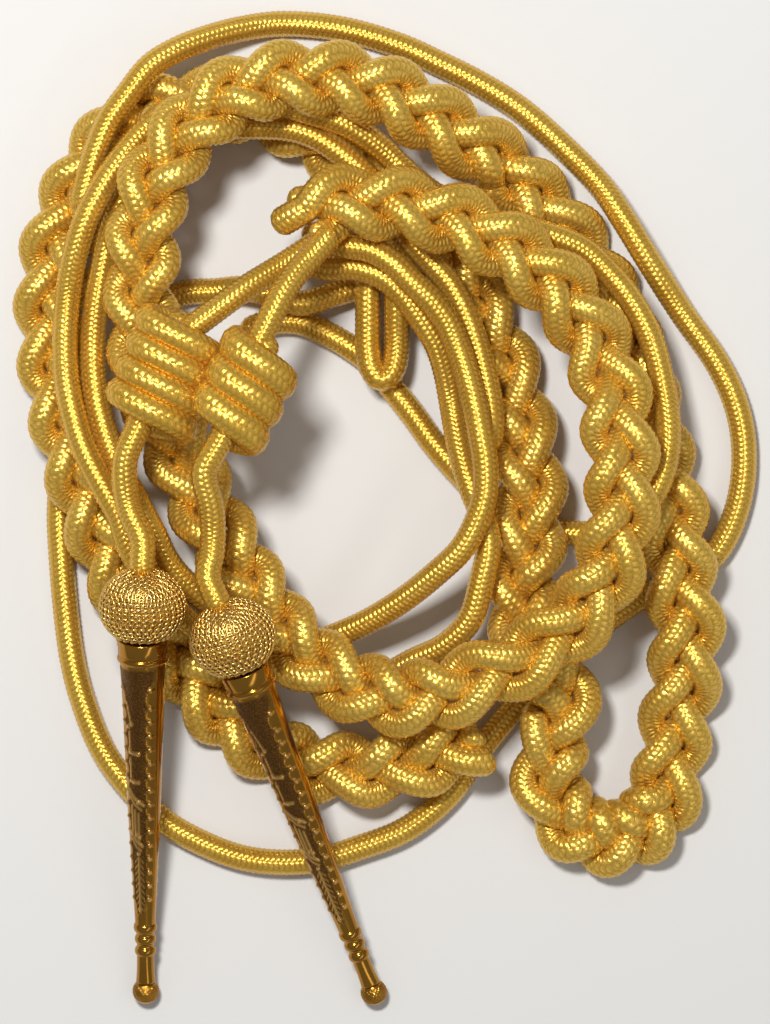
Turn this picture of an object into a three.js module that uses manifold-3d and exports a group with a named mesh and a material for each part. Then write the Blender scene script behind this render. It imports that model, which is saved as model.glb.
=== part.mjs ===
// A dress aiguillette of gilt cord, lying looped up on a flat surface.
// Lengths are in millimetres, Z is up, and Y runs towards the top of the coil.
import * as THREE from "three";
import { mergeVertices } from "three/addons/utils/BufferGeometryUtils.js";
import Module from "manifold-3d";

// Plain cord
const cordDiameter = 6.35;
const cordSides = 8;
const cordStep = 12; // between the rings of a cord's tube
const fewestCordSteps = 10;

// Plait of three strands, each pressed a little flat
const strandWidth = 7.3;
const strandThickness = 5.6;
const plaitWidth = 19.4;
const strandRise = 2.8; // how far a strand passes above and below the plait's middle
const strandHook = 0.17; // how much a strand turns faster at the plait's edges, in radians
const plaitLean = 1.05; // how far a bend lifts the plait's inner edge, and lowers the outer one
const plaitTurnReach = 20; // how far each way along the plait its bend is measured
const plaitTightBend = 0.011; // the bend, in radians for each millimetre, that gives the full lean
const sectionsPerScallop = 4;
const plaitSides = 8;
// Scallops along the plait's outer edge, which draw together in its bends: a distance along
// the plait, and the number of scallops up to there
const scallopCounts = [
  [0, 0], [56, 4], [106, 8], [218, 16], [330, 24], [391, 28], [430, 31], [463, 33.5], [489, 36.5],
  [503, 37.5], [574, 42.5], [672, 49.5], [725, 53.5], [890, 65.5], [915, 67.5], [949, 69.5],
  [1035, 75.5], [1110, 80.7],
];

// How the pieces lie on each other
const layGap = 0.45; // left between a piece and what it lies on
const jointGap = 0.3; // left where two pieces meet end to end
const cordGap = 0.8; // left where a cord goes into a knot or a ball
const walkStep = 2; // between the points at which a run is laid
const cordHumpRadius = 30;
const plaitHumpRadius = 45;
const steepestSlope = 0.45;
const ownReach = (4 / 3) * plaitWidth; // how far along a run its own points are left out
const plaitMeetingHeight = 11; // of the plait's middle where its rear and front parts meet
const easing = 8; // half the length over which a run's heights are averaged

// Wound knots. The angle is that of the lower end, and a turn is as wide as the pitch.
const knotHalfWidth = 10.5;
const knotHalfHeight = 8;
const knotCordSides = 8;
const knotStepsPerTurn = 12;
const leftKnot = { centre: [-53.6, 33], axisAngle: 249, turns: 4, pitch: 6.2 };
const rightKnot = { centre: [-33.1, 28.4], axisAngle: 243.5, turns: 3, pitch: 7.3 };

// Netted balls and pointed tags
const ballRadius = 10.6;
const ballHalfLength = 9.5; // along the tag's axis
const ballSides = 14;
const tagSides = 14;
const tagLength = 101; // from the ball's middle to the tip
const collarLength = 5.2;
const collarRadius = 6;
const bodyTopRadius = 5.55;
const bodyEnd = 80.9;
const bodyEndRadius = 2.45;
const edgeSlope = 0.6; // the length of a collar's or a ring's sloping edge
const ringRadii = [2.85, 2.6, 2.6];
const ringLength = 0.8;
const ringSpacing = 3;
const neckRadius = 2.1;
const neckEndRadius = 2.4; // where the neck flares to the end ball
const endBallRadius = 3.2;
const leftBall = { centre: [-57.6, -23], tipAngle: 270 };
const rightBall = { centre: [-36.2, -30.5], tipAngle: 291.4 };

// Routes, as points along the middle of each run seen from above
const rearPlaitRoute = [
  [23.5, -54.5], [18.2, -57.1], [11.5, -59.3], [3.8, -61.7], [-4.6, -62.6], [-13, -62.6],
  [-21.4, -61], [-29.3, -56.4], [-36.5, -50.9], [-43, -44.4], [-49, -36.5], [-55.7, -28.8],
  [-61, -20.4], [-66.2, -9.1], [-71, 3.6], [-75.8, 19.2], [-79.2, 34.6], [-80.2, 47.5],
  [-79.2, 61.2], [-74.6, 75.1], [-67, 87.6], [-57.4, 95.5], [-46.6, 98.2], [-37, 97.9],
  [-27.4, 96], [-17.3, 91.9], [-8.2, 84.7], [0.2, 76.3], [8.6, 67.7], [16.6, 57.6], [23, 47],
  [28.1, 36], [32.2, 21.6], [34.8, 7.2], [34.8, -7.2], [32.9, -19.2], [34.3, -28.3],
  [38.9, -36], [42.7, -43.2], [42.5, -50.4], [40.1, -57.1], [39.6, -64.3], [41.8, -71.5],
  [47.3, -77.3], [54.5, -79.4], [61.4, -77.3], [66.7, -71.5], [69.1, -62.9], [70.1, -54],
  [72.2, -42], [73, -28.3], [70.8, -13.2], [68.6, 1.7], [65.3, 15.6], [62.6, 26.4], [60, 36],
  [56.6, 44.4], [52.6, 52.8], [48.2, 60.5], [43.4, 67.2], [38.2, 73.2], [32.6, 78.5],
  [27.8, 83.3],
];
const frontPlaitRoute = [
  [27.8, 83.3], [20.6, 88.1], [12.7, 93.1], [5, 97.7], [-3.4, 101.3], [-13, 103.2],
  [-22.6, 103.2], [-32.2, 101.3], [-41, 96.5], [-48.2, 89.3], [-53.8, 80.4], [-56.9, 70.8],
  [-58.1, 60], [-58.3, 50.4], [-57.4, 39.6], [-55.4, 30], [-52.1, 20.4], [-48, 11.3],
  [-44.2, 3.1], [-39.8, -5.3], [-34.6, -14.4], [-29, -23], [-22.6, -31.2], [-14.9, -37.9],
  [-6.5, -42.5], [2.6, -45.1], [11.5, -44.4], [20.6, -41.5], [30.2, -37.2], [38.6, -32.4],
  [45.4, -26.9], [50.6, -20.4], [54.2, -12], [56.4, -2.9], [57.1, 5.5], [56.6, 14.4],
  [55.7, 24], [53.3, 33.6], [49.4, 42.5], [43.9, 50.4], [37.4, 57.1], [30.2, 62.4],
  [23, 66.7], [14.6, 70.1], [6.2, 72.5], [-2.2, 73.7], [-10.6, 73.2], [-18.2, 71],
];
const outerLoopRoute = [
  [-73, 72.5], [-71, 80.4], [-68.9, 87.1], [-65.8, 94.1], [-61.4, 100.3], [-56.2, 106.8],
  [-50.4, 110.6], [-44.2, 113.3], [-34.6, 116.2], [-25, 117.6], [-10.6, 116.4], [3.8, 112.3],
  [13.4, 108], [23, 103.2], [32.6, 97.2], [42.5, 88.6], [52.5, 78.2], [58, 69.9],
  [62.8, 62], [71.8, 48.1], [80.6, 35.5], [85, 25.9], [86.9, 16.8], [86.6, 6],
  [83.8, -4.1], [79.4, -11.3], [72.2, -16.3], [62.6, -20.9], [51.8, -28.3], [42.2, -37.2],
  [32.6, -46.8], [25.9, -54.5], [21.1, -61], [17, -67.2], [11, -73.2], [3.8, -78],
  [-5.8, -81.6], [-15.4, -84.5], [-25, -85.2], [-34.6, -84], [-44.2, -80.4], [-52.6, -75.6],
  [-62.2, -66.2], [-68.2, -57.6], [-73, -45.6], [-75.4, -36], [-77, -24], [-78, -12],
  [-78.5, -2.4], [-78.2, 7.2],
];
const longLoopRoute = [
  [-19.4, 67.7], [-14.9, 65], [-9.4, 63.4], [-3.4, 62.4], [1.9, 59.3], [6.7, 54.5],
  [11.5, 49.9], [15.1, 45.1], [17.5, 39.6], [19.7, 33.1], [21.6, 25.9], [23, 18.7],
  [24.2, 11.5], [24.2, 4.3], [22.3, -2.4], [18.7, -9.1], [13.4, -14.4], [3.8, -22.1],
  [-7, -28.3], [-17.8, -31.9], [-27.4, -30.7], [-37, -25.7], [-45.4, -19.7], [-51.8, -12.7],
  [-55.7, -4.8], [-59.8, 2.9], [-63.8, 10.6], [-66, 16.1], [-67.9, 22.1], [-69.1, 28.1],
  [-69.8, 35.3], [-69.8, 43.2], [-69.1, 51.1], [-67.9, 58.3], [-66.5, 64.8], [-64.6, 70.8],
  [-61, 77.5], [-56.2, 84], [-50.2, 88.8], [-41.3, 91.7], [-31, 92.2], [-22.6, 91.7],
  [-16.6, 89.8], [-9.4, 85], [-3.4, 79.4], [1.9, 72.5], [6.7, 64.8], [11.5, 59.3],
  [15.6, 54.7], [18.7, 49.2], [21.1, 43.2], [23, 37.2], [24.7, 30], [25.7, 22.8],
  [25.4, 14.4],
];
const secondLoopRoute = [
  [-36.5, -34.8], [-43, -30.2], [-50.2, -24], [-56.2, -16.8], [-61, -8.9], [-63.6, -1.2],
  [-66.5, 4.3], [-69.4, 9.6], [-72.2, 15.6], [-74.4, 22.8], [-76.1, 31.2], [-76.6, 40.8],
  [-76.1, 50.4], [-74.9, 58.1], [-73.2, 64.8], [-71, 70.8], [-68.6, 75.6], [-65.8, 80.4],
  [-62.4, 85.2], [-58.6, 90], [-53.8, 94.3], [-46.6, 97.7], [-38.2, 98.9], [-28.6, 98.2],
  [-15.4, 94.8], [-8.2, 92.2], [-1, 87.3], [5, 81.6], [11, 76.6], [19.2, 72], [27.4, 68.9],
  [37.4, 66.7], [47.5, 62.9], [53, 58.1], [59, 50.9], [63.8, 42], [66.7, 31.7], [68.2, 21.6],
  [67.9, 13.9], [66.2, 7.2], [62.9, 1.2], [57.8, -2.9], [51.8, -5.5], [44.6, -5.5],
  [37.4, -4.8], [30.2, -1.2], [23.5, 3.8], [17, 10.3], [11.5, 16.8], [6.7, 23.5],
  [1.4, 30.2], [-2.9, 35.3], [-8.2, 39.4], [-14.9, 43.2], [-21.4, 45.6], [-28.6, 45.1],
  [-34.6, 42.7],
];
const innerCordRoute = [
  [-22.6, 63.4], [-19.4, 60.5], [-14.2, 58.3], [-7.7, 58.3], [-1, 56.4], [3.1, 53.3],
  [6.7, 49], [10.3, 43.9], [13, 39.1], [14.9, 33.1], [16.3, 25.9], [17.5, 18.7], [19, 11.5],
  [21.1, 4.8], [23.5, -1.2], [25, -8.4], [23.5, -16.8], [20.6, -26.4], [14.6, -32.6],
  [6.7, -36.5], [0.2, -40.3],
];
const tieCordRoute = [
  [-54.2, 50.4], [-47.8, 52.6], [-40.6, 53], [-34.1, 53.5], [-26.9, 52.1], [-20.2, 49.9],
  [-13, 51.8], [-6.2, 54], [0.2, 56.4],
];
const buttonLoopRoute = [
  [-3.9, 59.5], [-3.9, 52.8], [-3.9, 45.6], [-3.8, 38.4], [-2.8, 33.8], [-0.4, 31.6],
  [2, 33.8], [3, 38.4], [3.1, 45.6], [3.1, 52.8], [3.1, 58],
];
const leftLeadRoute = [[-18.4, 62.2], [-23, 59.2], [-26.8, 56.8], [-33.1, 52.8], [-41.2, 46.8]];
const rightLeadRoute = [[-15.6, 62.5], [-18.1, 59.6], [-20.4, 57], [-23.6, 52.3], [-28.2, 43.3]];
// The drops start and end at the knots and balls, so these are only the points between
const leftDropRoute = [[-61, 1]];
const rightDropRoute = [[-41, 0], [-41, -10]];

// Materials
const gilt = (colour, roughness) =>
  new THREE.MeshStandardMaterial({ color: colour, roughness, metalness: 0.75 });
const giltPlait = gilt("#c8912a", 0.42);
const giltCord = gilt("#c48c24", 0.4);
const giltNet = gilt("#b8892f", 0.5);
const brass = gilt("#9c7434", 0.28);

// Outlines of the two kinds of run, as they press on their neighbours: a flat part on each side
// of the middle, then an elliptical shoulder
const strandSwing = plaitWidth / 2 - strandWidth / 2;
const plaitRoll = Math.asin(plaitLean / strandSwing);
const cordOutline = {
  flat: 0,
  shoulder: cordDiameter / 2,
  height: cordDiameter / 2,
  hump: cordHumpRadius,
};
const plaitOutline = {
  flat: strandSwing * Math.SQRT1_2,
  shoulder: plaitWidth / 2 - strandSwing * Math.SQRT1_2,
  height: strandRise + plaitLean * Math.SQRT1_2 + strandThickness / 2,
  hump: plaitHumpRadius,
};

// A run is walked in equal steps along a smooth curve through its chosen points. At each step
// it knows its place in plan, its distance along, its chosen point's number and its height.
function walk(route, outline) {
  const curve = new THREE.CatmullRomCurve3(route.map(([x, y]) => new THREE.Vector3(x, y, 0)));
  curve.arcLengthDivisions = route.length * 24;
  const length = curve.getLength();
  const steps = Math.round(length / walkStep);
  const points = curve.getSpacedPoints(steps).map((place, i) => ({
    x: place.x,
    y: place.y,
    z: null,
    along: (length * i) / steps,
    number: curve.getUtoTmapping(i / steps) * (route.length - 1),
    outline,
  }));
  points.forEach((point) => (point.run = points));
  return { outline, points, length };
}

const laid = []; // every point that is already in place

// The least height at which a point clears the others. A run's own points don't lift it nearby.
function clearHeight(point, outline, others = laid) {
  let height = outline.height;
  for (const other of others) {
    if (other.run && other.run === point.run && Math.abs(other.along - point.along) < ownReach) continue;
    const flat = outline.flat + other.outline.flat;
    const shoulder = outline.shoulder + other.outline.shoulder + layGap;
    const away = Math.hypot(point.x - other.x, point.y - other.y) - flat;
    if (away >= shoulder) continue;
    const share = Math.sqrt(1 - (Math.max(away, 0) / shoulder) ** 2);
    const reach = (outline.height + other.outline.height + layGap) * share;
    height = Math.max(height, other.z + reach);
  }
  return height;
}

// How far a run has dropped at a distance from a point that holds it up
function drop(distance, humpRadius) {
  const bend = steepestSlope * humpRadius;
  return distance < bend
    ? distance ** 2 / (2 * humpRadius)
    : steepestSlope * (distance - bend / 2);
}

// Lays the stretch of a run between two of its chosen points on what lies beneath. What is
// already laid of the run holds the stretch up too, and so do given heights at the run's two
// ends and at the end of the stretch.
function lay(run, given = {}) {
  const { from = 0, to = Infinity, startHeight = 0, endHeight = 0, splitHeight = 0, on = laid } = given;
  const { hump } = run.outline;
  const stretch = run.points.filter(({ z, number }) => z === null && number >= from && number <= to);
  if (stretch.length === 0) return;
  const holds = run.points
    .filter(({ z }) => z !== null)
    .map(({ along, z }) => ({ along, least: z }));
  stretch.forEach((point) => {
    holds.push({ along: point.along, least: clearHeight(point, run.outline, on) });
  });
  holds.push({ along: 0, least: startHeight }, { along: run.length, least: endHeight });
  holds.push({ along: stretch.at(-1).along, least: splitHeight });
  const raised = run.points.map((point) => {
    const spans = holds.map(({ along, least }) => least - drop(Math.abs(along - point.along), hump));
    return point.z ?? Math.max(...spans);
  });
  const eased = stretch.map((point) => {
    let total = 0;
    let weight = 0;
    run.points.forEach((other, i) => {
      const share = Math.abs(other.along - point.along) / easing;
      if (share >= 1) return;
      const part = 1 + Math.cos(Math.PI * share);
      total += part * raised[i];
      weight += part;
    });
    return total / weight;
  });
  stretch.forEach((point, i) => {
    point.z = eased[i];
    laid.push(point);
  });
}

// A smooth curve down the middle of a run as it lies
function middle(run) {
  const curve = new THREE.CatmullRomCurve3(run.points.map(({ x, y, z }) => new THREE.Vector3(x, y, z)));
  curve.arcLengthDivisions = run.points.length * 8;
  return curve;
}

function circle(radius, sides) {
  return new THREE.Shape(
    Array.from({ length: sides }, (_, i) => {
      const angle = (2 * Math.PI * (i + 0.5)) / sides;
      return new THREE.Vector2(radius * Math.cos(angle), radius * Math.sin(angle));
    }),
  );
}

function tube(curve, radius, sides, steps) {
  return new THREE.ExtrudeGeometry(circle(radius, sides), {
    steps,
    bevelEnabled: false,
    extrudePath: curve,
  });
}

function cordGeometry(run) {
  const curve = middle(run);
  const steps = Math.max(fewestCordSteps, Math.round(curve.getLength() / cordStep));
  return tube(curve, cordDiameter / 2, cordSides, steps);
}

// Joins rings of equal size into one closed skin
function loft(rings) {
  const size = rings[0].length;
  const positions = rings.flat().flatMap((p) => [p.x, p.y, p.z]);
  const index = [];
  for (let k = 0; k + 1 < rings.length; k++) {
    for (let j = 0; j < size; j++) {
      const a = k * size + j;
      const b = k * size + ((j + 1) % size);
      index.push(a, b, b + size, a, b + size, a + size);
    }
  }
  const last = (rings.length - 1) * size;
  for (let j = 1; j + 1 < size; j++) {
    index.push(0, j + 1, j, last, last + j, last + j + 1);
  }
  const geometry = new THREE.BufferGeometry();
  geometry.setAttribute("position", new THREE.Float32BufferAttribute(positions, 3));
  geometry.setIndex(index);
  return geometry;
}

// A strand's place in the plait's section. Up and down it swings as the sine of twice the
// pattern's angle, and across as a cosine, which turns faster at the edges and makes hooks
// there. The whole section is rolled a little where the plait bends.
function strandPlace(angle, roll) {
  const across = strandSwing * Math.cos(angle + strandHook * Math.sin(2 * angle));
  const up = strandRise * Math.sin(2 * angle);
  return [
    across * Math.cos(roll) + up * Math.sin(roll),
    up * Math.cos(roll) - across * Math.sin(roll),
  ];
}

// A plait's section at one place: the skin stretched round its three oval strands, each a
// third of a pattern behind the last
function plaitRing(place, side, angle, roll) {
  const strands = [0, 1, 2].map((n) => strandPlace(angle + (2 * Math.PI * n) / 3, roll));
  return Array.from({ length: plaitSides }, (_, j) => {
    const look = (2 * Math.PI * j) / plaitSides;
    const [across, up] = [Math.cos(look), Math.sin(look)];
    const reach = strands.map((s) => s[0] * across + s[1] * up);
    const outermost = strands[reach.indexOf(Math.max(...reach))];
    const size = Math.hypot(strandWidth * across, strandThickness * up);
    const offset = outermost[0] + (strandWidth ** 2 * across) / (2 * size);
    return new THREE.Vector3(
      place.x + side.x * offset,
      place.y + side.y * offset,
      place.z + outermost[1] + (strandThickness ** 2 * up) / (2 * size),
    );
  });
}

// The value that a list of pairs gives at a place, in a straight line between them
function between(pairs, place) {
  const above = pairs.findIndex(([at]) => at > place);
  const next = above < 0 ? pairs.length - 1 : Math.max(above, 1);
  const [[a, low], [b, high]] = [pairs[next - 1], pairs[next]];
  return low + ((high - low) * (place - a)) / (b - a);
}

const countAt = (along) => between(scallopCounts, along);
const alongAt = (count) => between(scallopCounts.map(([along, scallops]) => [scallops, along]), count);

// How far the plait is rolled at a share of its length: its bend is the sine of the angle
// between its directions a little before and a little after
function rollAt(curve, share, length) {
  const reach = plaitTurnReach / length;
  const before = curve.getTangent(Math.max(share - reach, 0));
  const after = curve.getTangent(Math.min(share + reach, 1));
  const turned = (before.x * after.y - before.y * after.x) / Math.hypot(before.x, before.y);
  const bend = turned / Math.hypot(after.x, after.y) / (2 * plaitTurnReach * plaitTightBend);
  return -plaitRoll * THREE.MathUtils.clamp(bend, -1, 1);
}

function plaitGeometry(run, start, end) {
  const first = countAt(start);
  const sections = Math.round((countAt(end) - first) * sectionsPerScallop);
  const curve = middle(run);
  const rings = Array.from({ length: sections + 1 }, (_, k) => {
    const count = first + ((countAt(end) - first) * k) / sections;
    const share = alongAt(count) / run.length;
    const ahead = curve.getTangent(share);
    const side = new THREE.Vector2(-ahead.y, ahead.x).normalize();
    const roll = rollAt(curve, share, run.length);
    return plaitRing(curve.getPoint(share), side, (2 * Math.PI * count) / 3, roll);
  });
  return loft(rings);
}

// The runs, and the order in which they are put down: each lies on those before it
const plait = walk([...rearPlaitRoute, ...frontPlaitRoute.slice(1)], plaitOutline);
const outerLoop = walk(outerLoopRoute, cordOutline);
const longLoop = walk(longLoopRoute, cordOutline);
const secondLoop = walk(secondLoopRoute, cordOutline);
const innerCord = walk(innerCordRoute, cordOutline);
const tieCord = walk(tieCordRoute, cordOutline);
const buttonLoop = walk(buttonLoopRoute, cordOutline);

// The chosen points, counted from 0, where a run changes its layer
const layer = {
  outerLoopRightSide: 22,
  secondLoopRightSide: 42,
  secondLoopMiddle: 50,
  longLoopUnderBall: 20,
  plaitMeeting: rearPlaitRoute.length - 1,
};
lay(outerLoop, { from: layer.outerLoopRightSide });
lay(secondLoop, { from: layer.secondLoopRightSide, to: layer.secondLoopMiddle });
lay(plait, { to: layer.plaitMeeting, splitHeight: plaitMeetingHeight });
lay(outerLoop);
lay(longLoop, { from: layer.longLoopUnderBall });
lay(secondLoop, { to: layer.secondLoopRightSide });
lay(secondLoop);
lay(tieCord);
lay(buttonLoop);
lay(innerCord);
lay(longLoop);
lay(plait);

// A wound knot: a cord wrapped round the lead that runs through it, in a frame of its own with
// the lead along Y and Z up. Both ends of the wrap are hidden underneath.
const wasm = await Module();
wasm.setup();

function toSolid(geometry) {
  const bare = geometry.clone();
  bare.deleteAttribute("normal");
  bare.deleteAttribute("uv");
  const merged = mergeVertices(bare, 1e-4);
  return new wasm.Manifold(
    new wasm.Mesh({
      numProp: 3,
      vertProperties: new Float32Array(merged.attributes.position.array),
      triVerts: new Uint32Array(merged.index.array),
    }),
  );
}

function toGeometry(solid) {
  const mesh = solid.getMesh();
  const geometry = new THREE.BufferGeometry();
  geometry.setAttribute("position", new THREE.BufferAttribute(mesh.vertProperties, 3));
  geometry.setIndex(new THREE.BufferAttribute(mesh.triVerts, 1));
  return geometry;
}

const knotHalfLength = ({ turns, pitch }) => ((turns + 1) * pitch) / 2;

// One oval ring of the wrapped cord, at a share of its way along
function wrapRing({ turns, pitch }, share) {
  const angle = -Math.PI / 2 - 2 * Math.PI * turns * share;
  return Array.from({ length: knotCordSides }, (_, j) => {
    const turn = (2 * Math.PI * (j + 0.5)) / knotCordSides;
    const outwards = (cordDiameter / 2) * (Math.sin(turn) - 1);
    return new THREE.Vector3(
      (knotHalfWidth + outwards) * Math.cos(angle),
      pitch * (turns * (0.5 - share) + Math.cos(turn) / 2),
      (knotHalfHeight + outwards) * Math.sin(angle),
    );
  });
}

function knotGeometry(knot) {
  const steps = Math.round(knot.turns * knotStepsPerTurn);
  const wraps = loft(Array.from({ length: steps + 1 }, (_, i) => wrapRing(knot, i / steps)));
  const half = knotHalfLength(knot);
  const coreProfile = [[0, -half], [1, -half], [1, half], [0, half]].map((p) => new THREE.Vector2(...p));
  const core = new THREE.LatheGeometry(coreProfile, knotCordSides);
  core.scale(knotHalfWidth - 0.8 * cordDiameter, 1, knotHalfHeight - 0.8 * cordDiameter);
  return toGeometry(toSolid(wraps).add(toSolid(core)));
}

// A piece's long axis seen from above, from an angle in degrees
function heading(angle) {
  const turn = THREE.MathUtils.degToRad(angle);
  return new THREE.Vector3(Math.cos(turn), Math.sin(turn), 0);
}

const knotOutline = {
  flat: 0,
  shoulder: knotHalfWidth,
  height: knotHalfHeight,
  hump: cordHumpRadius,
};

// Rests a knot level on what lies beneath it, and gives the points that stand for it
function restKnot(knot, others) {
  const axis = heading(knot.axisAngle);
  const reach = knotHalfLength(knot) - knotHalfWidth / 2;
  const middlePlace = new THREE.Vector3(...knot.centre, 0);
  const places = [-1, -0.75, -0.5, -0.25, 0, 0.25, 0.5, 0.75, 1].map((share) => {
    const place = middlePlace.clone().addScaledVector(axis, share * reach);
    return { x: place.x, y: place.y, outline: knotOutline };
  });
  knot.z = Math.max(...places.map((place) => clearHeight(place, knotOutline, others)));
  return places.map((place) => ({ ...place, z: knot.z }));
}

const leftKnotPoints = restKnot(leftKnot, laid);
restKnot(rightKnot, [...laid, ...leftKnotPoints]);

// A cord's first two points below a knot
function belowKnot(knot) {
  const axis = heading(knot.axisAngle);
  const start = knotHalfLength(knot) + cordGap;
  return [start, start + cordDiameter].map((reach) => [
    knot.centre[0] + axis.x * reach,
    knot.centre[1] + axis.y * reach,
  ]);
}

// Each ball and tag hang together on one straight axis, which leans on what lies beneath them
// and has the tag's tip on the surface
const ballSection = (away) => ballRadius * Math.sqrt(1 - (away / ballHalfLength) ** 2);
const collarStart = ballHalfLength * Math.sqrt(1 - (collarRadius / ballRadius) ** 2) + jointGap;
const ringsEnd = bodyEnd + ringSpacing * (ringRadii.length - 1) + ringLength + edgeSlope;
const tagProfile = [
  [collarStart, collarRadius],
  [collarStart + collarLength, collarRadius],
  [collarStart + collarLength + edgeSlope, bodyTopRadius],
  [0.32 * bodyEnd, 0.89 * bodyTopRadius],
  [0.64 * bodyEnd, 0.71 * bodyTopRadius],
  ...ringRadii.flatMap((radius, i) => {
    const start = bodyEnd + i * ringSpacing;
    return [
      [start - edgeSlope, i === 0 ? bodyEndRadius : neckRadius],
      [start, radius],
      [start + ringLength, radius],
      [start + ringLength + edgeSlope, neckRadius],
    ];
  }),
  [(ringsEnd + tagLength - 2 * endBallRadius) / 2, neckRadius],
  [tagLength - 1.88 * endBallRadius, neckEndRadius],
];

function restPendant(pendant) {
  const ahead = heading(pendant.tipAngle);
  const tipAway = tagLength - endBallRadius;
  pendant.z = ballRadius;
  for (let pass = 0; pass < 4; pass++) {
    const level = Math.sqrt(1 - ((pendant.z - endBallRadius) / tipAway) ** 2);
    let height = ballRadius;
    for (let away = 0; away < tipAway; away += walkStep) {
      const radius =
        away < collarStart
          ? Math.max(ballSection(away), collarRadius)
          : between(tagProfile, away);
      const outline = { flat: 0, shoulder: radius, height: radius };
      const place = new THREE.Vector3(...pendant.centre, 0).addScaledVector(ahead, away * level);
      const share = away / tipAway;
      height = Math.max(height, (clearHeight(place, outline) - endBallRadius * share) / (1 - share));
    }
    pendant.z = height;
  }
  pendant.level = Math.sqrt(1 - ((pendant.z - endBallRadius) / tipAway) ** 2);
}

restPendant(leftBall);
restPendant(rightBall);

// A cord's last two points at the top of a ball, and its height there
function ballTop(ball) {
  const ahead = heading(ball.tipAngle);
  return [ballHalfLength + cordGap + cordDiameter, ballHalfLength + cordGap].map((reach) => [
    ball.centre[0] - ahead.x * reach * ball.level,
    ball.centre[1] - ahead.y * reach * ball.level,
  ]);
}
const ballTopHeight = (ball) => ball.z + (ballHalfLength + cordGap) * Math.sqrt(1 - ball.level ** 2);

const leftLead = walk(leftLeadRoute, cordOutline);
const rightLead = walk(rightLeadRoute, cordOutline);
const leftDrop = walk([...belowKnot(leftKnot), ...leftDropRoute, ...ballTop(leftBall)], cordOutline);
const rightDrop = walk([...belowKnot(rightKnot), ...rightDropRoute, ...ballTop(rightBall)], cordOutline);

// The leads come out of the plait's end, so they don't lie on it, and the left one starts
// under the right one
const besidePlait = laid.filter((point) => point.run !== plait.points);
lay(rightLead, { endHeight: rightKnot.z, on: besidePlait });
const underRightLead = rightLead.points[0].z - cordDiameter;
lay(leftLead, { startHeight: underRightLead, endHeight: leftKnot.z, on: besidePlait });
lay(leftDrop, { startHeight: leftKnot.z, endHeight: ballTopHeight(leftBall) });
lay(rightDrop, { startHeight: rightKnot.z, endHeight: ballTopHeight(rightBall) });

// A ball's and a tag's own frame has its axis along Y, with the tag towards -Y
function ballGeometry() {
  const rows = 8;
  const profile = Array.from({ length: rows + 1 }, (_, i) => {
    const angle = (Math.PI * i) / rows;
    const radius = i === 0 || i === rows ? 0 : ballRadius * Math.sin(angle);
    return new THREE.Vector2(radius, -ballHalfLength * Math.cos(angle));
  });
  return new THREE.LatheGeometry(profile, ballSides);
}

// The tag's collar is cupped to take the ball, and its end is a small ball
function tagGeometry() {
  const cupRadius = ballRadius + jointGap;
  const cupWidest = Math.asin((0.9 * collarRadius) / cupRadius);
  const cup = [0, 0.5, 1].map((share) => {
    const angle = cupWidest * share;
    return new THREE.Vector2(cupRadius * Math.sin(angle), -(ballHalfLength + jointGap) * Math.cos(angle));
  });
  const body = tagProfile.map(([away, radius]) => new THREE.Vector2(radius, -away));
  const end = [0.3, 0.47, 0.65, 0.83, 1].map((share) => {
    const angle = Math.PI * share;
    const radius = share === 1 ? 0 : endBallRadius * Math.sin(angle);
    return new THREE.Vector2(radius, endBallRadius - tagLength + endBallRadius * Math.cos(angle));
  });
  return new THREE.LatheGeometry([...cup, ...body, ...end].reverse(), tagSides);
}

// Turns a geometry from its own frame to lie along a heading, with its tip lowered so that its
// level share is as given
function place(geometry, centre, height, angle, level = 1) {
  const down = heading(angle).multiplyScalar(-level);
  down.z = Math.sqrt(1 - level ** 2);
  const across = new THREE.Vector3().crossVectors(down, new THREE.Vector3(0, 0, 1)).normalize();
  const up = new THREE.Vector3().crossVectors(across, down);
  const pose = new THREE.Matrix4().makeBasis(across, down, up);
  pose.setPosition(centre[0], centre[1], height);
  return geometry.applyMatrix4(pose);
}

const group = new THREE.Group();

function add(name, geometry, material) {
  const mesh = new THREE.Mesh(geometry, material);
  mesh.name = name;
  group.add(mesh);
}

const meetingAlong = plait.points.find(({ number }) => number >= layer.plaitMeeting).along;
add("rear_plait", plaitGeometry(plait, 0, meetingAlong - jointGap / 2), giltPlait);
add("front_plait", plaitGeometry(plait, meetingAlong + jointGap / 2, plait.length), giltPlait);
add("outer_loop", cordGeometry(outerLoop), giltCord);
add("long_loop", cordGeometry(longLoop), giltCord);
add("second_loop", cordGeometry(secondLoop), giltCord);
add("inner_cord", cordGeometry(innerCord), giltCord);
add("tie_cord", cordGeometry(tieCord), giltCord);
add("button_loop", cordGeometry(buttonLoop), giltCord);
add("left_lead", cordGeometry(leftLead), giltCord);
add("right_lead", cordGeometry(rightLead), giltCord);
add("left_drop", cordGeometry(leftDrop), giltCord);
add("right_drop", cordGeometry(rightDrop), giltCord);
for (const [side, knot] of [["left", leftKnot], ["right", rightKnot]]) {
  add(side + "_knot", place(knotGeometry(knot), knot.centre, knot.z, knot.axisAngle), giltCord);
}
for (const [side, ball] of [["left", leftBall], ["right", rightBall]]) {
  add(side + "_ball", place(ballGeometry(), ball.centre, ball.z, ball.tipAngle, ball.level), giltNet);
  add(side + "_tag", place(tagGeometry(), ball.centre, ball.z, ball.tipAngle, ball.level), brass);
}

// The origin is in the middle of the part's box, on the surface it lies on
const bounds = new THREE.Box3().setFromObject(group);
const middleOfBox = bounds.getCenter(new THREE.Vector3());
group.children.forEach(({ geometry }) => {
  geometry.translate(-middleOfBox.x, -middleOfBox.y, -bounds.min.z);
});

export default group;
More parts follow.
